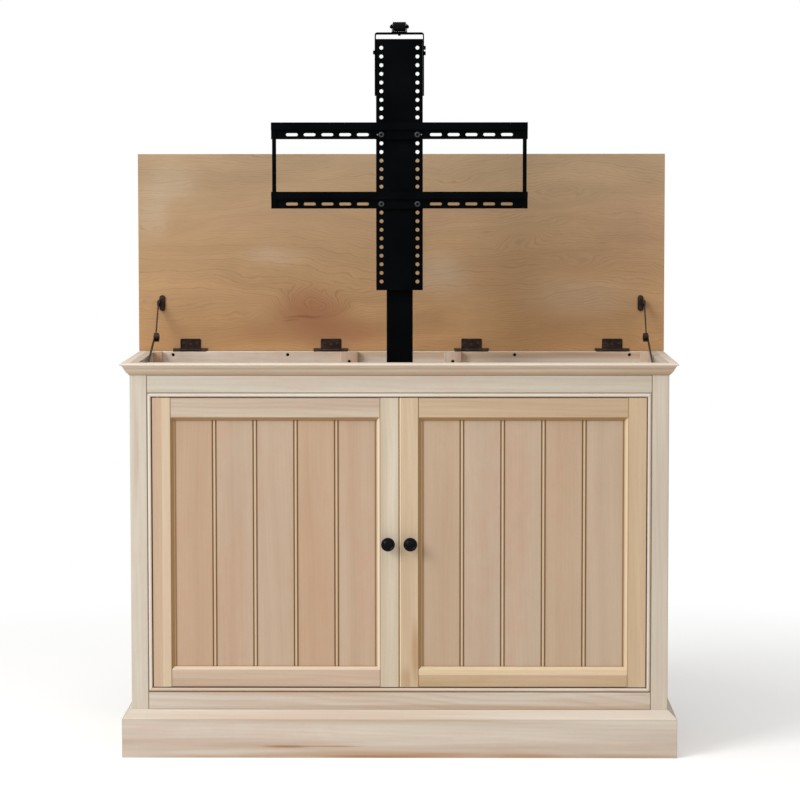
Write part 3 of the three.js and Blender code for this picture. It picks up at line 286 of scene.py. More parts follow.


# Most boards have tones of their own, light to dark, as bought planks do, and each has its own
# grain. Places are in millimetres from the middle and the floor. A strip runs between two places
# along an axis, with its tone, share and softness; most strips are painted highlights on edges
# that face the light and painted shade in gaps, quirks and under overhangs. A mark has its middle,
# half width, half height, share and tone.
frameJoints = {
    "stile": [("x", -575), ("x", 575)], "topRail": [("x", -575), ("x", 575), ("z", 836), ("z", 876)],
    "bottomRail": [("x", -575), ("x", 575), ("z", 148.5), ("z", 108)], "crown": [("z", 876)],
    "doorRail": [("x", -521.5), ("x", -43.75), ("x", 43.75), ("x", 521.5)],
}
# The crown's side returns are painted lighter: painted light for their lit tops.
crownReturn = {"grain": "y", "tones": ("#e6dccf", "#dacdbd", "#cbb7a1"), "joints": frameJoints["crown"]}
doorStile = {"grain": "z", "joints": frameJoints["doorRail"]}
doorRail = {**doorStile, "grain": "x", "ringContrast": 0.25}
sidePanel = {"grain": "z", "bands": (0.9, 13.0)}
# The rear posts' tones are pinker, and lifted as painted light against the shade inside the cabinet.
rearPost = {"grain": "z", "tones": ("#e2cdb8", "#d6bca4", "#c7a486"), "blushAmount": 0.6}
boards = {
    # On the face frame, the pale strip on each bead is a painted highlight, and the dark line next to it
    # is painted shade in the gap to the door.
    "face_frame_left_stile": {
        "grain": "z", "seed": 1.3, "tones": ("#d6ccbc", "#cec5b5", "#c4b7a6"), "blushAmount": 0.2,
        "joints": frameJoints["stile"],
        "strips": [("x", -574, -567, "#f2e8da", 0.5, 2), ("x", -566, -564, "#5f4321", 0.75, 1)],
        "marks": [(-600, 700, 12, 190, 0.4, "#c3a28c")],
    },
    "face_frame_right_stile": {
        "grain": "z", "seed": 2.9, "tones": ("#d9cdbc", "#d1c5b4", "#c9bba9"), "blushAmount": 0.15,
        "joints": frameJoints["stile"],
        "strips": [("x", 567, 574, "#efe4d4", 0.4, 2), ("x", 564, 566, "#5f4321", 0.6, 1)],
    },
    "face_frame_top_rail": {
        "grain": "x", "seed": 3.1, "tones": ("#d6cebf", "#ccc3b3", "#c5b7a4"),
        "joints": frameJoints["topRail"],
        "strips": [("z", 828, 836, "#efe6d9", 0.5, 2), ("z", 825, 827, "#5f4321", 0.6, 1)],
    },
    "face_frame_bottom_rail": {
        "grain": "x", "seed": 4.7, "tones": ("#dcd3c6", "#d0c4b6", "#c1aa93"), "ringContrast": 0.3,
        "ringSpacing": 0.0120, "ringWander": 0.06, "late": "#bd9a76", "lean": (0.035, 0.03),
        "pith": (0.03, 0.05), "streakAmount": 0.45, "streakFrom": 0.54,
        "joints": frameJoints["bottomRail"],
        "strips": [("z", 150, 157, "#eadbc8", 0.4, 2), ("z", 157.5, 159, "#5f4321", 0.7, 1)],
    },
    # The crown's pale top band is a painted highlight; the thin dark line and the darker lowest band are
    # painted shade on the moulding's downward faces.
    "crown_front": {
        "grain": "x", "seed": 5.3, "tones": ("#dbccb7", "#cfbea9", "#c1ab92"), "ringContrast": 0.2,
        "streakAmount": 0.2, "joints": frameJoints["crown"],
        "strips": [
            ("z", 897, 906, "#ebdfcf", 0.6, 3), ("z", 890.8, 892.2, "#8f6836", 0.5, 1.4),
            ("z", 875, 883, "#ab875a", 0.35, 5),
        ],
    },
    "crown_left": {**crownReturn, "seed": 6.1}, "crown_right": {**crownReturn, "seed": 6.9},
    # The plinth's pale cap band is painted light on its upward facing cap, and the brown line just below
    # it is painted shade under the cap's round. The marks at the very bottom darken the bottom edge.
    "plinth_front": {
        "grain": "x", "seed": 7.7, "tones": ("#dacebf", "#cfc2b3", "#c4b09d"), "blush": "#cbb0a0",
        "lean": (0.01, 0.02), "streakAmount": 0.25, "streakFrom": 0.60,
        "strips": [("z", 88, 110, "#ecdfd0", 0.2, 3), ("z", 86.5, 88, "#b59a7a", 0.4, 1.5)],
        "marks": [
            (-262, 24.6, 80, 4.6, 0.85, "#9b7450"), (-160, 25.5, 95, 2.6, 0.75, "#a37c5a"),
            (-110, 6, 250, 15, 0.6, "#b48f6c"), (-60, 1, 170, 6, 0.7, "#ab7445"),
            (80, 4, 170, 11, 0.55, "#b07e55"), (290, 2, 150, 8, 0.6, "#b07c52"),
            (510, 3, 170, 10, 0.45, "#a98662"), (-395, 1, 260, 7, 0.5, "#b5926c"),
            (-270, 5, 170, 9, 0.45, "#b8977a"), (-560, 60, 90, 28, 0.3, "#cfb0a2"),
        ],
    },
    "plinth_left": {"grain": "y", "seed": 8.3}, "plinth_right": {"grain": "y", "seed": 8.9},
    "left_side_panel": {**sidePanel, "seed": 9.7}, "right_side_panel": {**sidePanel, "seed": 10.3},
    "back_panel": {"grain": "z", "seed": 11.1, "bands": (0.9, 11.0), "ringContrast": 0.2},
    "bottom_panel": {"grain": "x", "seed": 11.9, "bands": (0.9, 11.0)},
    # The rear rail's light tones are partly painted light, lifted against the shade inside the cabinet.
    "rear_top_rail": {
        "grain": "x", "seed": 12.7, "tones": ("#eee0d0", "#e4d4c1", "#d2b79d"), "streakAmount": 0.35,
        "streakFrom": 0.56,
    },
    "left_rear_post": {**rearPost, "seed": 13.3}, "right_rear_post": {**rearPost, "seed": 13.9},
    # The left corner post's darker, browner tones are painted shade.
    "left_corner_post": {
        "grain": "z", "seed": 14.3, "tones": ("#dcbca0", "#cfa88a", "#bf9070"), "blushAmount": 0.6
    },
    "right_corner_post": {"grain": "z", "seed": 14.9, "tones": ("#e6d3bd", "#dcc6ad", "#cdb08f")},
    # On the doors, the narrow pale strips are painted highlights on stickings and edges that face the
    # light, and the narrow brown and dark strips are painted shade in the gaps and on stickings that face
    # away.
    "left_door_hinge_stile": {
        **doorStile, "seed": 15.7, "tones": ("#d4c2a9", "#c9b399", "#bfa58a"), "bands": (0.5, 30.0),
        "strips": [
            ("x", -566, -541, "#c9a78a", 0.6, 3), ("x", -541, -522, "#e0c9ab", 0.45, 3),
            ("x", -521.5, -512, "#9f7330", 0.7, 1), ("x", -564.5, -562.6, "#5f4321", 0.7, 1),
        ],
    },
    "left_door_lock_stile": {
        **doorStile, "seed": 16.3, "tones": ("#dbceba", "#d0c1ab", "#c7b69b"), "blushAmount": 0.1,
        "strips": [("x", -50, -44, "#f3e3cb", 0.5, 2), ("x", -2, -0.5, "#c08a4e", 0.8, 1)],
    },
    "left_door_top_rail": {
        **doorRail, "seed": 17.1, "tones": ("#d0c1ae", "#c5b29e", "#bba38c"),
        "strips": [("z", 773, 780, "#9f7330", 0.7, 1), ("z", 823.2, 825, "#5f4321", 0.5, 1)],
    },
    "left_door_bottom_rail": {
        **doorRail, "seed": 17.9, "tones": ("#cdb6a0", "#c3a992", "#b89a81"), "ringContrast": 0.2,
        "strips": [("z", 199.5, 206.5, "#f0dcc2", 0.5, 2), ("z", 159, 161.2, "#5f4321", 0.7, 1)],
    },
    "right_door_hinge_stile": {
        **doorStile, "seed": 18.7, "tones": ("#d2b999", "#c7ac8a", "#bc9d7a"), "blushAmount": 0.15,
        "strips": [("x", 515, 521.5, "#efd9b8", 0.5, 2), ("x", 562.8, 564.5, "#5f4321", 0.6, 1)],
    },
    "right_door_lock_stile": {
        **doorStile, "seed": 19.3, "tones": ("#d5bda0", "#cbb293", "#c2a584"), "blushAmount": 0.1,
        "strips": [("x", 43.5, 52, "#9f7330", 0.7, 1), ("x", 0.5, 3.2, "#f5dfba", 0.8, 1)],
        "marks": [(34, 235, 16, 105, 0.6, "#a9825a"), (12, 178, 18, 45, 0.45, "#ad875e")],
    },
    "right_door_top_rail": {
        **doorRail, "seed": 20.1, "tones": ("#d3bca0", "#c9b092", "#bea183"),
        "strips": [("z", 773, 780, "#9f7330", 0.7, 1), ("z", 823.2, 825, "#5f4321", 0.5, 1)],
    },
    "right_door_bottom_rail": {
        **doorRail, "seed": 20.9, "tones": ("#c5aa87", "#bb9f7b", "#b2916c"), "ringContrast": 0.2,
        "strips": [("z", 188, 206.5, "#eed8b6", 0.55, 3), ("z", 159, 161.2, "#5f4321", 0.7, 1)],
    },
}
for name, look in boards.items():
    dress(name, boardMaterial("sandedMaple_" + name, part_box(name), look))

# The beadboard planks are pinker than the frames round them.
plankLook = {
    "grain": "z", "tones": ("#cdb398", "#c4a88d", "#b99a7e"), "late": "#a8835f", "blush": "#c39a80",
    "blushAmount": 0.45, "bands": (2.2, 11.0), "ringContrast": 0.05, "fibreContrast": 0.025,
    # These strips are painted shadow: under the top rails, above the bottom rails, and beside the stiles
    # in front of the planks.
    "strips": [
        ("z", 770.5, 774, "#8a6434", 0.65, 3), ("z", 205.5, 208, "#8a6434", 0.5, 2),
        ("x", -516, -510, "#a27b50", 0.35, 6), ("x", 50, 56, "#a27b50", 0.35, 6),
    ],
}
beadboard = {
    "count": 5,
    "draw": 1.0,  # where the random numbers start that mix each plank's two tones
    "toneShare": 0.6, "grainShift": 0.737, "grainSway": 0.11, "pitch": 0.09295, "grooveReach": 0.008,
    # Shares of painted shade in the grooves and of painted highlight on the crests, by distance from a
    # bead's middle
    "grooveShade": [(0.0, 0.0), (0.22, 0.0), (0.34, 0.75), (0.62, 0.75), (0.78, 0.1), (1.0, 0.0)],
    "grooveShadeTone": "#74511f", "crestHighlight": [(0.0, 0.45), (0.16, 0.45), (0.26, 0.0)], "crestHighlightTone": "#dcc49c",
}
plankTones = {"left": ("#be9f82", "#c0ac98"), "right": ("#bba287", "#c0ae9b")}
for side, seed in (("left", 23.0), ("right", 27.1)):
    name = side + "_door_beadboard_panel"
    planks = {**beadboard, "tones": plankTones[side]}
    material = boardMaterial("plank_" + side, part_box(name), {**plankLook, "seed": seed}, planks)
    dress(name, material)
print("wooden boards dressed")

# Rotary cut birch veneer on plywood. Peeled round the log, so the rings spread into fine, nearly
# level lines that close into eyes, and circle a reddish knot. Worn pale in a few soft patches.
# The edges show the plies. Places are in millimetres from the middle and the floor.
lidVeneer = {
    "lineSpacing": 0.0060, "outerShift": 2.7, "lineAmount": (0.04, 0.42),
    "lineSteps": [(0.0, 0.4), (0.08, 0.0), (0.6, 0.06), (0.86, 0.7), (0.93, 1.0), (1.0, 0.4)],
    "presence": (0.40, 0.64), "roam": (0.06, 0.0, 0.03), "waves": (1.5, 1.0, 3.4), "waveHeight": 0.19,
    "ripples": (17.0, 1.0, 34.0), "rippleHeight": 0.019, "clouds": (3.0, 1.0, 16.0),
    "cloudShade": (0.90, 1.10), "fibres": (30.0, 1.0, 420.0), "fibreShade": (0.94, 1.06),
    "climb": (0.93, 1.36), "patchCore": 0.1, "knotCore": 0.4, "plyThickness": 0.0024, "top": "#ae9373",
    "bottom": "#bc9265", "line": "#8a5c3a", "knotTone": "#a0694a", "knotSpot": "#774328",
    "pale": "#c9b8a2", "pink": "#b58d72", "plyDark": "#8d6b49", "plyLight": "#c8ab84",
    "roughness": (0.54, 0.66), "specular": 0.25, "bump": {"Strength": 0.15, "Distance": 0.0002},
    "knotRings": (-216, 1000, 130, 84, 0.18),
    # middle x and z, half width, half height, and how many millimetres the lines are pushed up
    "eyes": [
        (-588, 1191, 95, 34, 30), (383, 1263, 120, 36, 34), (422, 1113, 105, 34, 30),
        (287, 1181, 80, 42, -36), (-90, 1240, 160, 40, 26), (-216, 1002, 125, 70, 92),
    ],
    # middle x and z, half width, half height, share, and which colour
    "patches": [
        (-546, 1312, 80, 70, 0.28, "pale"), (-307, 1133, 110, 34, 0.30, "pale"),
        (94, 1085, 105, 85, 0.34, "pale"), (-600, 1250, 60, 130, 0.3, "pale"),
        (430, 1035, 180, 75, 0.25, "pale"), (-215, 994, 135, 92, 0.72, "knotTone"),
        (-140, 944, 160, 50, 0.5, "knotTone"), (-335, 955, 90, 40, 0.25, "knotTone"),
        (560, 1200, 120, 190, 0.30, "pink"), (90, 1240, 260, 60, 0.22, "pink"),
        (-380, 1220, 240, 44, 0.18, "pink"), (-232, 985, 60, 4, 0.55, "knotSpot"),
        (-262, 977, 26, 3, 0.4, "knotSpot"),
    ],
}


def veneerMaterial(look):
    material, add, shader, place = startMaterial("birchVeneer")
    parts = add("SeparateXYZ", {}, {0: place.outputs["Object"]})
    # The outer face is another sheet of veneer, so it takes its grain from farther along the roll.
    facing = add("SeparateXYZ", {}, {0: place.outputs["Normal"]})
    outer = add("Math", {"operation": "GREATER_THAN", 1: 0.5}, {0: facing.outputs[1]})
    sheet = add(
        "Math", {"operation": "MULTIPLY_ADD", 1: look["outerShift"]}, {0: outer, 2: parts.outputs[0]}
    )
    flat = add("CombineXYZ", {1: 0.0}, {0: sheet, 2: parts.outputs[2]})
    # Every place on the face is roamed a little, so that eyes and patches have uneven outlines.
    roam = add("TexNoise", {"Scale": 9.0, "Detail": 3.0}, {"Vector": flat})
    roamed = add(
        "VectorMath", {"operation": "MULTIPLY_ADD", 1: look["roam"]}, {0: roam.outputs["Color"], 2: flat}
    )

    def near(x, z, halfWidth, halfHeight, most, core=0.0):
        size = (halfWidth, halfHeight)
        return nearSpot(add, roamed, look["roam"], (x / 1000, z / 1000), size, most, core)

    # The contours follow the lid's own height, pushed by slow waves, ripples and the eyes.
    settings = {"Detail": 3.0, "Roughness": 0.45, "Distortion": 0.3}
    waves = stretchedNoise(add, flat, look["waves"], settings)
    contour = add(
        "Math", {"operation": "MULTIPLY_ADD", 1: look["waveHeight"]}, {0: waves, 2: parts.outputs[2]}
    )
    ripples = stretchedNoise(add, flat, look["ripples"], {"Detail": 3.0})
    contour = add(
        "Math", {"operation": "MULTIPLY_ADD", 1: look["rippleHeight"]}, {0: ripples, 2: contour}
    )
    for x, z, halfWidth, halfHeight, push in look["eyes"]:
        pushed = near(x, z, halfWidth, halfHeight, push / 1000)
        contour = add("Math", {"operation": "ADD"}, {0: contour, 1: pushed})
    count = add("Math", {"operation": "DIVIDE", 1: look["lineSpacing"]}, {0: contour})
    part = add("Math", {"operation": "FRACT"}, {0: count})
    lines = add("ValToRGB", {"stops": look["lineSteps"]}, {0: part})
    # Lines come and go along the lid, and no two years are equally dark.
    years = add("TexNoise", {"noise_dimensions": "1D", "Scale": 0.83, "Detail": 2.0}, {"W": count})
    patchy = add("TexNoise", {"Scale": 4.6, "Detail": 3.0}, {"Vector": flat})
    either = add("Mix", {"data_type": "FLOAT", 0: 0.5}, {2: years, 3: patchy})
    ranges = {1: look["presence"][0], 2: look["presence"][1]}
    ranges.update({3: look["lineAmount"][0], 4: look["lineAmount"][1]})
    presence = add("MapRange", ranges, {0: either})
    inKnot = add(
        "Math", {"operation": "ADD"}, {0: presence, 1: near(*look["knotRings"], look["knotCore"])}
    )
    lineShare = add("Math", {"operation": "MULTIPLY"}, {0: lines, 1: inKnot})
    # Greyer at the top edge, warmer near the hinges
    low, high = look["climb"]
    climb = add("MapRange", {1: low, 2: high}, {0: parts.outputs[2]})
    ground = add(
        "Mix", {"data_type": "RGBA", 6: linear(look["bottom"]), 7: linear(look["top"])}, {0: climb}
    )
    cloudy = add("CombineXYZ", {1: 0.0}, {0: sheet, 2: contour})
    clouds = stretchedNoise(add, cloudy, look["clouds"], {"Detail": 4.0, "Distortion": 0.5})
    low, high = look["cloudShade"]
    cloudShade = add("MapRange", {1: 0.3, 2: 0.7, 3: low, 4: high}, {0: clouds})
    tone = add("VectorMath", {"operation": "SCALE"}, {0: ground.outputs[2], 3: cloudShade})
    layers = []
    for x, z, halfWidth, halfHeight, most, colour in look["patches"]:
        layers.append((near(x, z, halfWidth, halfHeight, most, look["patchCore"]), colour))
    layers.append((lineShare, "line"))
    for share, colour in layers:
        tone = add("Mix", {"data_type": "RGBA", 7: linear(look[colour])}, {0: share, 6: tone}).outputs[2]
    # Fibres run along the contours.
    fibres = stretchedNoise(add, cloudy, look["fibres"], {"Detail": 3.0})
    low, high = look["fibreShade"]
    fibreShade = add("MapRange", {1: 0.25, 2: 0.75, 3: low, 4: high}, {0: fibres})
    face = add("VectorMath", {"operation": "SCALE"}, {0: tone, 3: fibreShade})
    # Plies show on the edges as bands that follow the board's thickness.
    plyCount = add("Math", {"operation": "DIVIDE", 1: 2 * look["plyThickness"]}, {0: parts.outputs[1]})
    plyPart = add("Math", {"operation": "FRACT"}, {0: plyCount})
    dark, light = look["plyDark"], look["plyLight"]
    stops = [(0.0, dark), (0.08, light), (0.46, light), (0.54, dark), (0.96, dark)]
    plies = add("ValToRGB", {"stops": stops}, {0: plyPart})
    flatOn = add("Math", {"operation": "ABSOLUTE"}, {0: facing.outputs[1]})
    faceShare = add("ValToRGB", {"stops": [(0.5, 0.0), (0.7, 1.0)]}, {0: flatOn})
    both = add("Mix", {"data_type": "RGBA"}, {0: faceShare, 6: plies, 7: face})
    low, high = look["roughness"]
    dull = add("MapRange", {3: low, 4: high}, {0: fibres})
    shader.inputs["Specular IOR Level"].default_value = look["specular"]
    bump = add("Bump", look["bump"], {"Height": fibres})
    feed(shader, {"Base Color": both.outputs[2], "Roughness": dull, "Normal": bump})
    return material


dress("lid_panel", veneerMaterial(lidVeneer))
print("lid veneer dressed")

# Metals and rubber. Tones run dark to light over patches; grit is a fine tooth, drawn coarser
# than it is so that it can be seen at all.
metalLooks = {
    # Oil rubbed bronze plating on steel: dark brown, satin, rubbed brighter in patches.
    "oiledBronze": {
        "tones": ["#1c1310", "#2a1e18", "#422e24"], "metallic": 0.6, "roughness": (0.36, 0.52),
        "specular": 0.4, "patch": 55.0, "grit": 900.0, "relief": 0.00005,
    },
    # The same plating on screw heads, in a lighter, warmer brown that is a painted highlight on each
    # head.
    "screwHighlightBronze": {
        "tones": ["#2a1c16", "#402c22", "#5c4132"], "metallic": 0.7, "roughness": (0.30, 0.42),
        "specular": 0.4, "patch": 420.0, "grit": 1500.0, "relief": 0.00003,
    },
    # Black powder coat on sheet steel: a deep soft black with a fine orange peel.
    "powderCoat": {
        "tones": ["#020304", "#040506", "#070809"], "metallic": 0.0, "roughness": (0.46, 0.58),
        "specular": 0.02, "patch": 14.0, "grit": 620.0, "relief": 0.00006,
    },
    # Cast and lacquered knob: near black with a faint violet cast and a soft highlight.
    "blackLacquer": {
        "tones": ["#060507", "#09080b", "#0e0c11"], "metallic": 0.0, "roughness": (0.26, 0.36),
        "specular": 0.09, "patch": 160.0, "grit": 2400.0, "relief": 0.00002,
    },
    # Bright zinc plating on steel pins, rivets and bolts: cool grey with a rub of lighter spots.
    "zincPlate": {
        "tones": ["#7b7d7f", "#9a9c9e", "#b4b6b8"], "metallic": 0.9, "roughness": (0.30, 0.45),
        "specular": 0.5, "patch": 320.0, "grit": 1800.0, "relief": 0.00002,
    },
    # Blackened bolts: dark grey oxide that catches a little light on its edges.
    "blackOxide": {
        "tones": ["#26282a", "#3c3f42", "#55595c"], "metallic": 0.5, "roughness": (0.38, 0.5),
        "specular": 0.3, "patch": 420.0, "grit": 1600.0, "relief": 0.00003,
    },
    # Moulded black rubber on the roller: matt, with a fine tooth.
    "mouldedRubber": {
        "tones": ["#060607", "#0a0a0b", "#101012"], "metallic": 0.0, "roughness": (0.72, 0.85),
        "specular": 0.08, "patch": 120.0, "grit": 1300.0, "relief": 0.00008,
    },
}


def metalMaterial(name, look):
    material, add, shader, place = startMaterial(name)
    patches = add(
        "TexNoise", {"Scale": look["patch"], "Detail": 3.0, "Roughness": 0.55},
        {"Vector": place.outputs["Object"]},
    )
    dark, mid, light = look["tones"]
    tone = add("ValToRGB", {"stops": [(0.32, dark), (0.52, mid), (0.75, light)]}, {0: patches})
    grit = add("TexNoise", {"Scale": look["grit"], "Detail": 1.0}, {"Vector": place.outputs["Object"]})
    dull = add("MapRange", {3: look["roughness"][0], 4: look["roughness"][1]}, {0: patches})
    shader.inputs["Metallic"].default_value = look["metallic"]
    shader.inputs["Specular IOR Level"].default_value = look["specular"]
    bump = add("Bump", {"Strength": 0.3, "Distance": look["relief"]}, {"Height": grit})
    feed(shader, {"Base Color": tone, "Roughness": dull, "Normal": bump})
    return material


metals = {name: metalMaterial(name, look) for name, look in metalLooks.items()}
for name in nodes:
    if "hinge_" in name and name.endswith("leaf") or "_stay_" in name:
        dress(name, metals["oiledBronze"])
    elif name.endswith("_pin"):
        dress(name, metals["zincPlate"])
    elif name.endswith("_knob"):
        dress(name, metals["blackLacquer"])
mast = ["outer_column", "lift_motor", "middle_column", "inner_column"]
carriage = ["screen_plate", "screen_frame", "roller_bracket"]
for name in mast + carriage:
    dress(name, metals["powderCoat"])
dress("lid_roller", metals["mouldedRubber"])
print("metals dressed")


# Softened edges: the CAD nodes keep their meshes, and modifiers ease each sharp corner.
# Widths are in metres and angles in degrees.
easing = {
    "wood": 0.0006, "metal": 0.0003, "cornersWithin": 0.00001, "flatBelow": 0.3, "cornerAbove": 40,
    "smoothBelow": 34,
}
softShade = bpy.data.node_groups.new("shadeSmoothBelowAngle", "GeometryNodeTree")
add = partial(addNode, softShade)
for direction in ("INPUT", "OUTPUT"):
    softShade.interface.new_socket("Geometry", in_out=direction, socket_type="NodeSocketGeometry")
entry = add("NodeGroupInput")
bare = add("GeometryNodeRemoveAttribute", {"Name": "custom_normal"}, {0: entry})
allSmooth = add("GeometryNodeSetShadeSmooth", {"domain": "FACE"}, {0: bare})
folds = add("GeometryNodeInputMeshEdgeAngle")
gentle = add(
    "FunctionNodeCompare",
    {"data_type": "FLOAT", "operation": "LESS_THAN", 1: math.radians(easing["smoothBelow"])}, {0: folds},
)
creased = add("GeometryNodeSetShadeSmooth", {"domain": "EDGE"}, {0: allSmooth, "Shade Smooth": gentle})
add("NodeGroupOutput", {}, {0: creased})


def softenEdges(name, width):
    node = nodes[name]
    weld = node.modifiers.new("cornersMerged", "WELD")
    weld.merge_threshold = easing["cornersWithin"]
    plain = node.modifiers.new("flatsMerged", "DECIMATE")
    plain.decimate_type = "DISSOLVE"
    plain.angle_limit = math.radians(easing["flatBelow"])
    bevel = node.modifiers.new("edgesEased", "BEVEL")
    bevel.width = width
    bevel.segments = 2
    bevel.limit_method = "ANGLE"
    bevel.angle_limit = math.radians(easing["cornerAbove"])
    shade = node.modifiers.new("shadedSmooth", "NODES")
    shade.node_group = softShade
    even = node.modifiers.new("flatsKeptFlat", "WEIGHTED_NORMAL")
    even.keep_sharp = True


for name in nodes:
    wooden = name in boards or name.endswith("_beadboard_panel") or name == "lid_panel"
    softenEdges(name, easing["wood" if wooden else "metal"])
print("edges eased")


# Small pieces, shaped in edit mode. Places are in millimetres from the middle, the cabinet's
# front edge and the floor, as on the drawing.
forward, upward = (0, -1, 0), (0, 0, 1)
# Doubles merge within so many metres. Angles are in degrees, and each copy gets one more ownTurn.
smallPieces = {"mergeWithin": 0.000002, "smoothBelow": 32, "ownTurn": 47.0}


def spot(x, y, z):
    return Vector((x / 1000, y / 1000 + frontPlane, z / 1000))


def deselectAll():
    if bpy.context.object and bpy.context.object.mode != "OBJECT":
        bpy.ops.object.mode_set(mode="OBJECT")
    bpy.ops.object.select_all(action="DESELECT")


def pickFaces(piece, wanted):
    bpy.ops.mesh.select_all(action="DESELECT")
    bpy.ops.object.mode_set(mode="OBJECT")
    place = piece.matrix_world
    for face in piece.data.polygons:
        face.select = wanted(place @ face.center, place.to_3x3() @ face.normal)
    bpy.ops.object.mode_set(mode="EDIT")


def turnPiece(name, centre, toward, outline, sides):
    # Each step of the outline is a radius and a height along the axis, in millimetres.
    deselectAll()
    toward = Vector(toward).normalized()
    radius, height = outline[0]
    bpy.ops.mesh.primitive_circle_add(
        vertices=sides, radius=radius / 1000, fill_type="NGON", location=centre + toward * height / 1000,
        rotation=Vector(upward).rotation_difference(toward).to_euler(),
    )
    piece = bpy.context.object
    piece.name = name
    bpy.ops.object.mode_set(mode="EDIT")
    bpy.ops.mesh.select_mode(type="FACE")
    bpy.ops.mesh.select_all(action="SELECT")
    for nextRadius, nextHeight in outline[1:]:
        bpy.ops.mesh.extrude_region_move(
            TRANSFORM_OT_translate={"value": toward * (nextHeight - height) / 1000}
        )
        size = nextRadius / radius
        bpy.ops.transform.resize(
            value=(size, size, size), center_override=centre + toward * nextHeight / 1000
        )
        radius, height = nextRadius, nextHeight
    return piece


def cutCross(piece, centre, toward, top, width, depth):
    # A crosshead recess: four cuts across the end face, then the cross between them is sunk.
    toward = Vector(toward).normalized()
    across = toward.orthogonal().normalized()
    arms = (across, toward.cross(across))

    def onTop(place, normal):
        return (place - centre).dot(toward) > (top - 0.02) / 1000 and normal.dot(toward) > 0.9

    for direction in arms:
        for side in (-1, 1):
            pickFaces(piece, onTop)
            bpy.ops.mesh.bisect(plane_co=centre + direction * side * width / 2000, plane_no=direction)
    pickFaces(
        piece,
        lambda place, normal: onTop(place, normal)
        and any(abs((place - centre).dot(arm)) < width / 2000 for arm in arms),
    )
    bpy.ops.mesh.extrude_region_move(TRANSFORM_OT_translate={"value": -toward * depth / 1000})


def finishPiece(piece, body, plating, angle=smallPieces["smoothBelow"]):
    if piece.mode != "EDIT":
        deselectAll()
        bpy.context.view_layer.objects.active = piece
        piece.select_set(True)
        bpy.ops.object.mode_set(mode="EDIT")
    bpy.ops.mesh.select_all(action="SELECT")
    bpy.ops.mesh.remove_doubles(threshold=smallPieces["mergeWithin"])
    bpy.ops.mesh.normals_make_consistent(inside=False)
    bpy.ops.object.mode_set(mode="OBJECT")
    bpy.ops.object.transform_apply(location=True, rotation=True, scale=True)
    bpy.ops.object.shade_smooth_by_angle(angle=math.radians(angle))
    piece.data.materials.clear()
    piece.data.materials.append(metals[plating])
    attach(piece, body)
    return piece


def copyPiece(piece, name, start, end, startToward, endToward, body, twist):
    # The copy's own mesh is carried from the first place and direction to the new ones.
    made = piece.copy()
    made.data = piece.data.copy()
    made.name = name
    scene.collection.objects.link(made)
    turn = Vector(startToward).rotation_difference(Vector(endToward)).to_matrix().to_4x4()
    spin = Matrix.Rotation(math.radians(twist), 4, Vector(endToward))
    made.data.transform(Matrix.Translation(end) @ spin @ turn @ Matrix.Translation(-start))
    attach(made, body)


def turnedPiece(look, name, centre, toward):
    return turnPiece(name, centre, toward, look["outline"], look["sides"])


def crossHead(look, name, centre, toward):
    piece = turnedPiece(look, name, centre, toward)
    cutCross(piece, centre, toward, look["outline"][-1][1], look["slotWidth"], look["slotDepth"])
    return piece


def setOut(name, make, look, places, plating):
    # One is made at the first place, and copied to all the others with a turn of its own.
    first = None
    for i, (body, x, y, z, toward) in enumerate(places):
        place = spot(x, y, z)
        if first is None:
            start, startToward = place, toward
            first = finishPiece(make(look, name + "_1", place, toward), body, plating)
        else:
            label = name + "_" + str(i + 1)
            twist = smallPieces["ownTurn"] * i
            copyPiece(first, label, start, place, startToward, toward, body, twist)
    print("set out", name, len(places))


# Door knobs: a turned rose, a waisted neck, and a dished face with a raised ring
knob = {
    "sides": 48,
    "outline": [
        (10.0, 0.0), (10.2, 0.8), (9.6, 1.8), (7.8, 3.2), (6.8, 6.0), (6.8, 9.5), (8.0, 12.2),
        (11.2, 14.4), (14.0, 16.0), (15.5, 18.4), (15.85, 20.8), (15.6, 23.0), (14.8, 24.7),
        (13.5, 25.8), (12.4, 26.0), (11.2, 25.4), (10.6, 25.0), (10.0, 25.3), (8.8, 26.1),
        (6.6, 26.8), (4.0, 27.2), (1.2, 27.3),
    ],
}
for side in ("left", "right"):
    low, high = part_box(side + "_door_knob")
    centre = Vector(((low.x + high.x) / 2, high.y, (low.z + high.z) / 2))
    reach = (high.y - low.y) * 1000 / knob["outline"][-1][1]
    outline = [(r, h * reach) for r, h in knob["outline"]]
    piece = turnPiece(side + "_turned_knob", centre, forward, outline, knob["sides"])
    finishPiece(piece, side + "_door", "blackLacquer")
    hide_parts(side + "_door_knob")
print("knobs turned")

# Crosshead screws hold the hinge leaves, the stay pads and the side brackets.
crossScrew = {
    "outline": [(3.3, -0.3), (3.4, 0.1), (3.1, 0.34), (2.6, 0.5), (2.1, 0.56)], "sides": 24,
    "slotWidth": 0.9, "slotDepth": 0.5, "lidLeafSpots": [(-16.0, 921.0), (0.0, 918.5), (16.0, 921.0)],
    "lidLeafFace": 476.05, "rimLeafSpots": [(-32.9, 457.5), (32.9, 457.5)], "rimLeafTop": 905.7,
    "padPlace": (578.05, 474.75), "padHeights": [1007.5, 1031.0], "bracketFace": 591.8,
    "bracketSpots": [(162.0, 876.0), (198.0, 876.0)],
}
places = []
for i in (1, 2, 3, 4):
    low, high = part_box("lid_hinge_%d_lid_leaf" % i)
    x = 500 * (low.x + high.x)
    for aside, height in crossScrew["lidLeafSpots"]:
        places.append(("lid", x + aside, crossScrew["lidLeafFace"], height, forward))
    for aside, back in crossScrew["rimLeafSpots"]:
        places.append(("cabinet", x + aside, back, crossScrew["rimLeafTop"], upward))
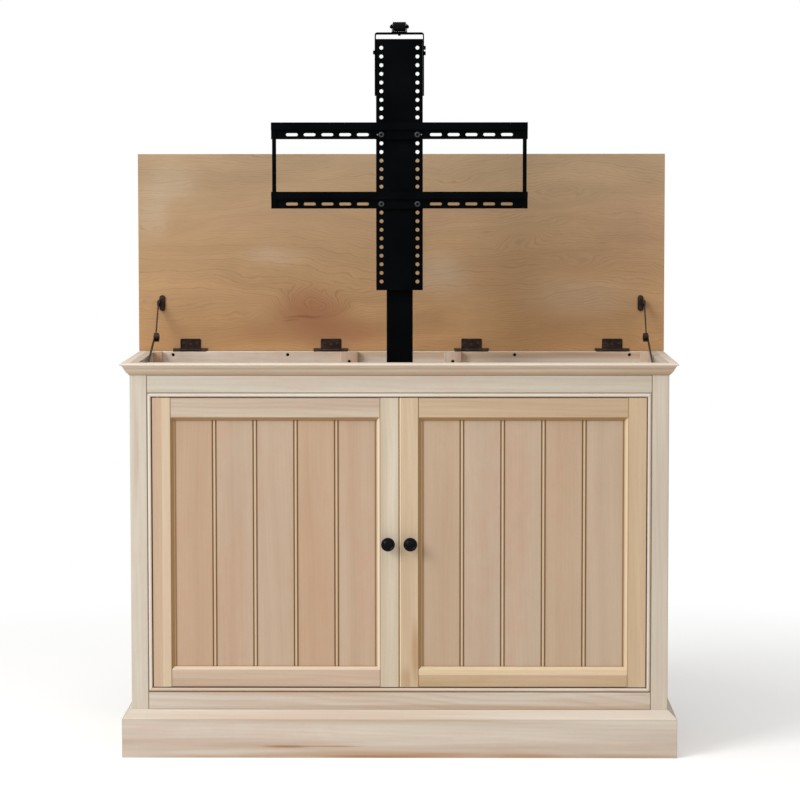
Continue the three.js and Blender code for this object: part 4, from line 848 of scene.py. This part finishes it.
for side in (-1, 1):
    x, y = crossScrew["padPlace"]
    for height in crossScrew["padHeights"]:
        places.append(("lid", side * x, y, height, forward))
    for y, z in crossScrew["bracketSpots"]:
        places.append(("cabinet", side * crossScrew["bracketFace"], y, z, (-side, 0, 0)))
setOut("cross_screw", crossHead, crossScrew, places, "screwHighlightBronze")

# Socket head bolts clamp the screen frame to the plate, a little rivet beside each upper one.
frameBolt = {
    "outline": [(6.4, -0.4), (6.4, 3.4), (6.1, 4.0), (5.5, 4.35), (3.0, 4.35), (2.9, 2.4)], "sides": 28,
    "spread": 41.3, "face": 101.0, "heights": [1421.7, 1263.5],
}
places = [
    ("screen_carriage", side * frameBolt["spread"], frameBolt["face"], height, forward)
    for height in frameBolt["heights"]
    for side in (-1, 1)
]
setOut("frame_bolt", turnedPiece, frameBolt, places, "blackOxide")

smallRivet = {"outline": [(1.7, -0.3), (1.7, 0.5), (1.3, 0.95), (0.6, 1.15)], "sides": 16, "spread": 50.0}
height = frameBolt["heights"][0]
places = [
    ("screen_carriage", side * smallRivet["spread"], frameBolt["face"], height, forward)
    for side in (-1, 1)
]
setOut("frame_rivet", turnedPiece, smallRivet, places, "zincPlate")

# Pan heads close the ends of the frame's rails.
panHead = {
    "outline": [(3.6, -0.3), (3.6, 0.8), (3.2, 1.6), (2.4, 2.1), (1.9, 2.2)], "sides": 20,
    "slotWidth": 0.9, "slotDepth": 0.8, "spread": 287.0,
    # The lower pair's bright zinc is a painted glint; the upper pair is blackened.
    "levels": {
        "lower": (1268.5, "bright_steel", "zincPlate"), "upper": (1434.0, "black_steel", "blackOxide")
    },
}
for level, (height, slot, plating) in panHead["levels"].items():
    places = [
        ("screen_carriage", side * panHead["spread"], frameBolt["face"], height, forward)
        for side in (-1, 1)
    ]
    setOut(level + "_pan_head", crossHead, panHead, places, plating)

# Knurled thumb screws on the sides of the roller's strap: fine flutes, drawn twenty-four to a turn
thumbScrew = {
    "outline": [(4.0, -0.2), (4.6, 0.3), (4.6, 3.3), (4.1, 3.8), (2.3, 3.8), (2.07, 3.2)], "sides": 48,
    "flute": 0.35, "fluteEdge": 0.05, "fluteFrom": 3.22, "strapSide": 56.5, "y": 124.5, "left": [1609.2],
    "right": [1619.7, 1607.3],
}


def flutedPiece(look, name, centre, toward):
    piece = turnedPiece(look, name, centre, toward)
    # Every other strip of the rim is pressed in.
    aim = Vector(toward)
    aside = aim.orthogonal().normalized()
    other = aim.cross(aside)

    def inFlute(place, normal):
        out = place - centre
        if abs(normal.dot(aim)) > 0.3 or out.length < look["fluteFrom"] / 1000:
            return False
        strip = math.atan2(out.dot(other), out.dot(aside)) / math.tau * look["sides"]
        return math.floor(strip + 0.25) % 2 == 0

    pickFaces(piece, inFlute)
    bpy.ops.mesh.inset(thickness=look["fluteEdge"] / 1000, use_individual=True)
    bpy.ops.transform.shrink_fatten(value=-look["flute"] / 1000)
    return piece


places = [
    ("screen_carriage", side * thumbScrew["strapSide"], thumbScrew["y"], height, (side, 0, 0))
    for side, name in ((-1, "left"), (1, "right"))
    for height in thumbScrew[name]
]
setOut("thumb_screw", flutedPiece, thumbScrew, places, "powderCoat")

# The roller: a moulded rubber sleeve with ribs round it, bored for the axle
roller = {
    "sides": 40,
    # the left end from its bore to its rim: radius, and how far in from the end
    "end": [(3.5, 0.8), (4.6, 0.4), (9.0, 0.4), (9.8, 0.0)], "ribCount": 7,
    # radius, and how far along its share of the width
    "rib": [(10.8, 0.06), (11.2, 0.2), (11.2, 0.7), (10.3, 0.82), (10.3, 0.94)], "smoothBelow": 40,
}
low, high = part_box("lid_roller")
width = (high.x - low.x) * 1000
pitch = width / roller["ribCount"]
outline = list(roller["end"])
for i in range(roller["ribCount"]):
    outline += [(radius, (i + share) * pitch) for radius, share in roller["rib"]]
outline += [(radius, width - inward) for radius, inward in reversed(roller["end"])]
start = Vector((low.x, (low.y + high.y) / 2, (low.z + high.z) / 2))
piece = turnPiece("ribbed_roller", start, (1, 0, 0), outline, roller["sides"])


def isCap(place, normal):
    return abs(normal.x) > 0.9 and (place - start).yz.length < 0.0001


pickFaces(piece, isCap)
bpy.ops.mesh.bridge_edge_loops()
finishPiece(piece, "lid_roller", "mouldedRubber", roller["smoothBelow"])
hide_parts("lid_roller")
print("roller turned")

# Hexagon bolts on washers hold the mast's foot to the cabinet's bottom.
footWasher = {"outline": [(8.6, -0.2), (8.6, 1.2), (8.2, 1.5)], "sides": 28}
footBolt = {
    "outline": [(5.8, 1.2), (5.8, 4.8), (5.1, 5.4), (2.32, 5.4)], "sides": 6, "spread": 74.0,
    "rows": [108.0, 276.0], "footTop": 138.0,
}
places = [
    ("cabinet", side * footBolt["spread"], y, footBolt["footTop"], upward)
    for side in (-1, 1)
    for y in footBolt["rows"]
]
setOut("foot_washer", turnedPiece, footWasher, places, "zincPlate")
setOut("foot_bolt", turnedPiece, footBolt, places, "zincPlate")

# Dark screws sit deep in the bores of the rear rail and the rear posts.
boreScrew = {
    "outline": [(3.7, -0.2), (3.7, 2.6), (3.2, 3.2), (2.4, 3.5), (2.1, 3.55)], "sides": 24,
    "slotWidth": 0.9, "slotDepth": 0.8, "depth": 12.0,
    # how far aside the bores are, then the y of their mouths and their height
    "rows": [([-550.0, -273.5, 273.5, 550.0], 444.0, 896.0), ([-124.5, 124.5], 425.0, 881.0)],
}
places = [
    ("cabinet", x, mouth + boreScrew["depth"], height, forward)
    for bores, mouth, height in boreScrew["rows"]
    for x in bores
]
setOut("bore_screw", crossHead, boreScrew, places, "oiledBronze")


# Camera, at the photograph's own place and lens
def placeCamera(look):
    pan, tilt, roll = look["pan"], look["tilt"], look["roll"]
    ahead = Vector((math.sin(pan) * math.cos(tilt), math.cos(pan) * math.cos(tilt), -math.sin(tilt)))
    over = Vector((math.sin(pan) * math.sin(tilt), math.cos(pan) * math.sin(tilt), math.cos(tilt)))
    level = Vector((math.cos(pan), -math.sin(pan), 0))
    right = level * math.cos(roll) - over * math.sin(roll)
    up = level * math.sin(roll) + over * math.cos(roll)
    data = bpy.data.cameras.new("camera")
    data.lens = look["lens"]
    data.sensor_width = look["sensor"]
    camera = bpy.data.objects.new("camera", data)
    scene.collection.objects.link(camera)
    turn = Matrix((right, up, -ahead)).transposed().to_4x4()
    camera.matrix_world = Matrix.Translation(look["place"]) @ turn
    scene.camera = camera


placeCamera(
    {
        "place": (0.0799957, -7.1897615, 1.3591385), "pan": -0.0112, "tilt": 0.0773, "roll": 0.0007,
        "lens": 138.235, "sensor": 36.0,
    }
)

# Soft studio light from large panels: a strong key from the upper left, a weak fill from the right
lamps = {
    "keyPanel": {"place": (-7.0, -6.5, 5.6), "aim": (0.0, 0.0, 0.75), "size": 5.0, "power": 650},
    "fillPanel": {"place": (3.6, -5.2, 2.2), "aim": (0.0, 0.0, 0.8), "size": 3.4, "power": 14},
    "topPanel": {"place": (-0.4, -1.3, 4.6), "aim": (0.0, -0.1, 0.6), "size": 2.6, "power": 62},
}
for name, look in lamps.items():
    data = bpy.data.lights.new(name, "AREA")
    data.shape = "SQUARE"
    data.size = look["size"]
    data.energy = look["power"]
    lamp = bpy.data.objects.new(name, data)
    scene.collection.objects.link(lamp)
    lamp.location = look["place"]
    aim = Vector(look["aim"]) - Vector(look["place"])
    lamp.rotation_euler = aim.to_track_quat("-Z", "Y").to_euler()

# The world is white where it is seen, straight or in a reflection, and softer as a light.
studio = {
    "seen": "#ffffff", "glow": "#ffffff", "glowStrength": 0.42, "floor": "#e9e8e6", "floorSize": 30,
    "floorDrop": 0.0005, "floorLift": 0.30, "floorFade": (1.1, 2.4),
}
world = bpy.data.worlds.new("studio")
scene.world = world
world.use_nodes = True
world.node_tree.nodes.clear()
add = partial(addNode, world.node_tree)
rays = add("LightPath")
either = add(
    "Math", {"operation": "MAXIMUM"},
    {0: rays.outputs["Is Camera Ray"], 1: rays.outputs["Is Glossy Ray"]},
)
anySeen = add("Math", {"operation": "MAXIMUM"}, {0: either, 1: rays.outputs["Is Transmission Ray"]})
glow = add("Background", {"Color": linear(studio["glow"]), "Strength": studio["glowStrength"]})
seen = add("Background", {"Color": linear(studio["seen"]), "Strength": 1.0})
sky = add("MixShader", {}, {0: anySeen, 1: glow, 2: seen})
add("OutputWorld", {}, {0: sky})

# The floor is pale paper: it takes the shadow, and fades into the white behind.
deselectAll()
bpy.ops.mesh.primitive_plane_add(size=studio["floorSize"], location=(0, 0, -studio["floorDrop"]))
floor = bpy.context.object
floor.name = "studio_floor"
material, add, shader, place = startMaterial("palePaper")
material.node_tree.nodes.remove(shader)
output = material.node_tree.nodes["Material Output"]
rays = add("LightPath")
paper = add("BsdfDiffuse", {"Color": linear(studio["floor"])})
lift = add("Math", {"operation": "MULTIPLY", 1: studio["floorLift"]}, {0: rays.outputs["Is Camera Ray"]})
glowing = add("Emission", {}, {"Strength": lift})
near = add("AddShader", {}, {0: paper, 1: glowing})
distance = add("VectorMath", {"operation": "LENGTH"}, {0: place.outputs["Object"]})
fadeFrom, fadeTo = studio["floorFade"]
fade = add("MapRange", {1: fadeFrom, 2: fadeTo}, {0: distance.outputs["Value"]})
seenFade = add("Math", {"operation": "MULTIPLY"}, {0: fade, 1: rays.outputs["Is Camera Ray"]})
white = add("Emission", {"Strength": 1.0})
paperOut = add("MixShader", {}, {0: seenFade, 1: near, 2: white})
feed(output, {0: paperOut})
floor.data.materials.append(material)
print("studio set")
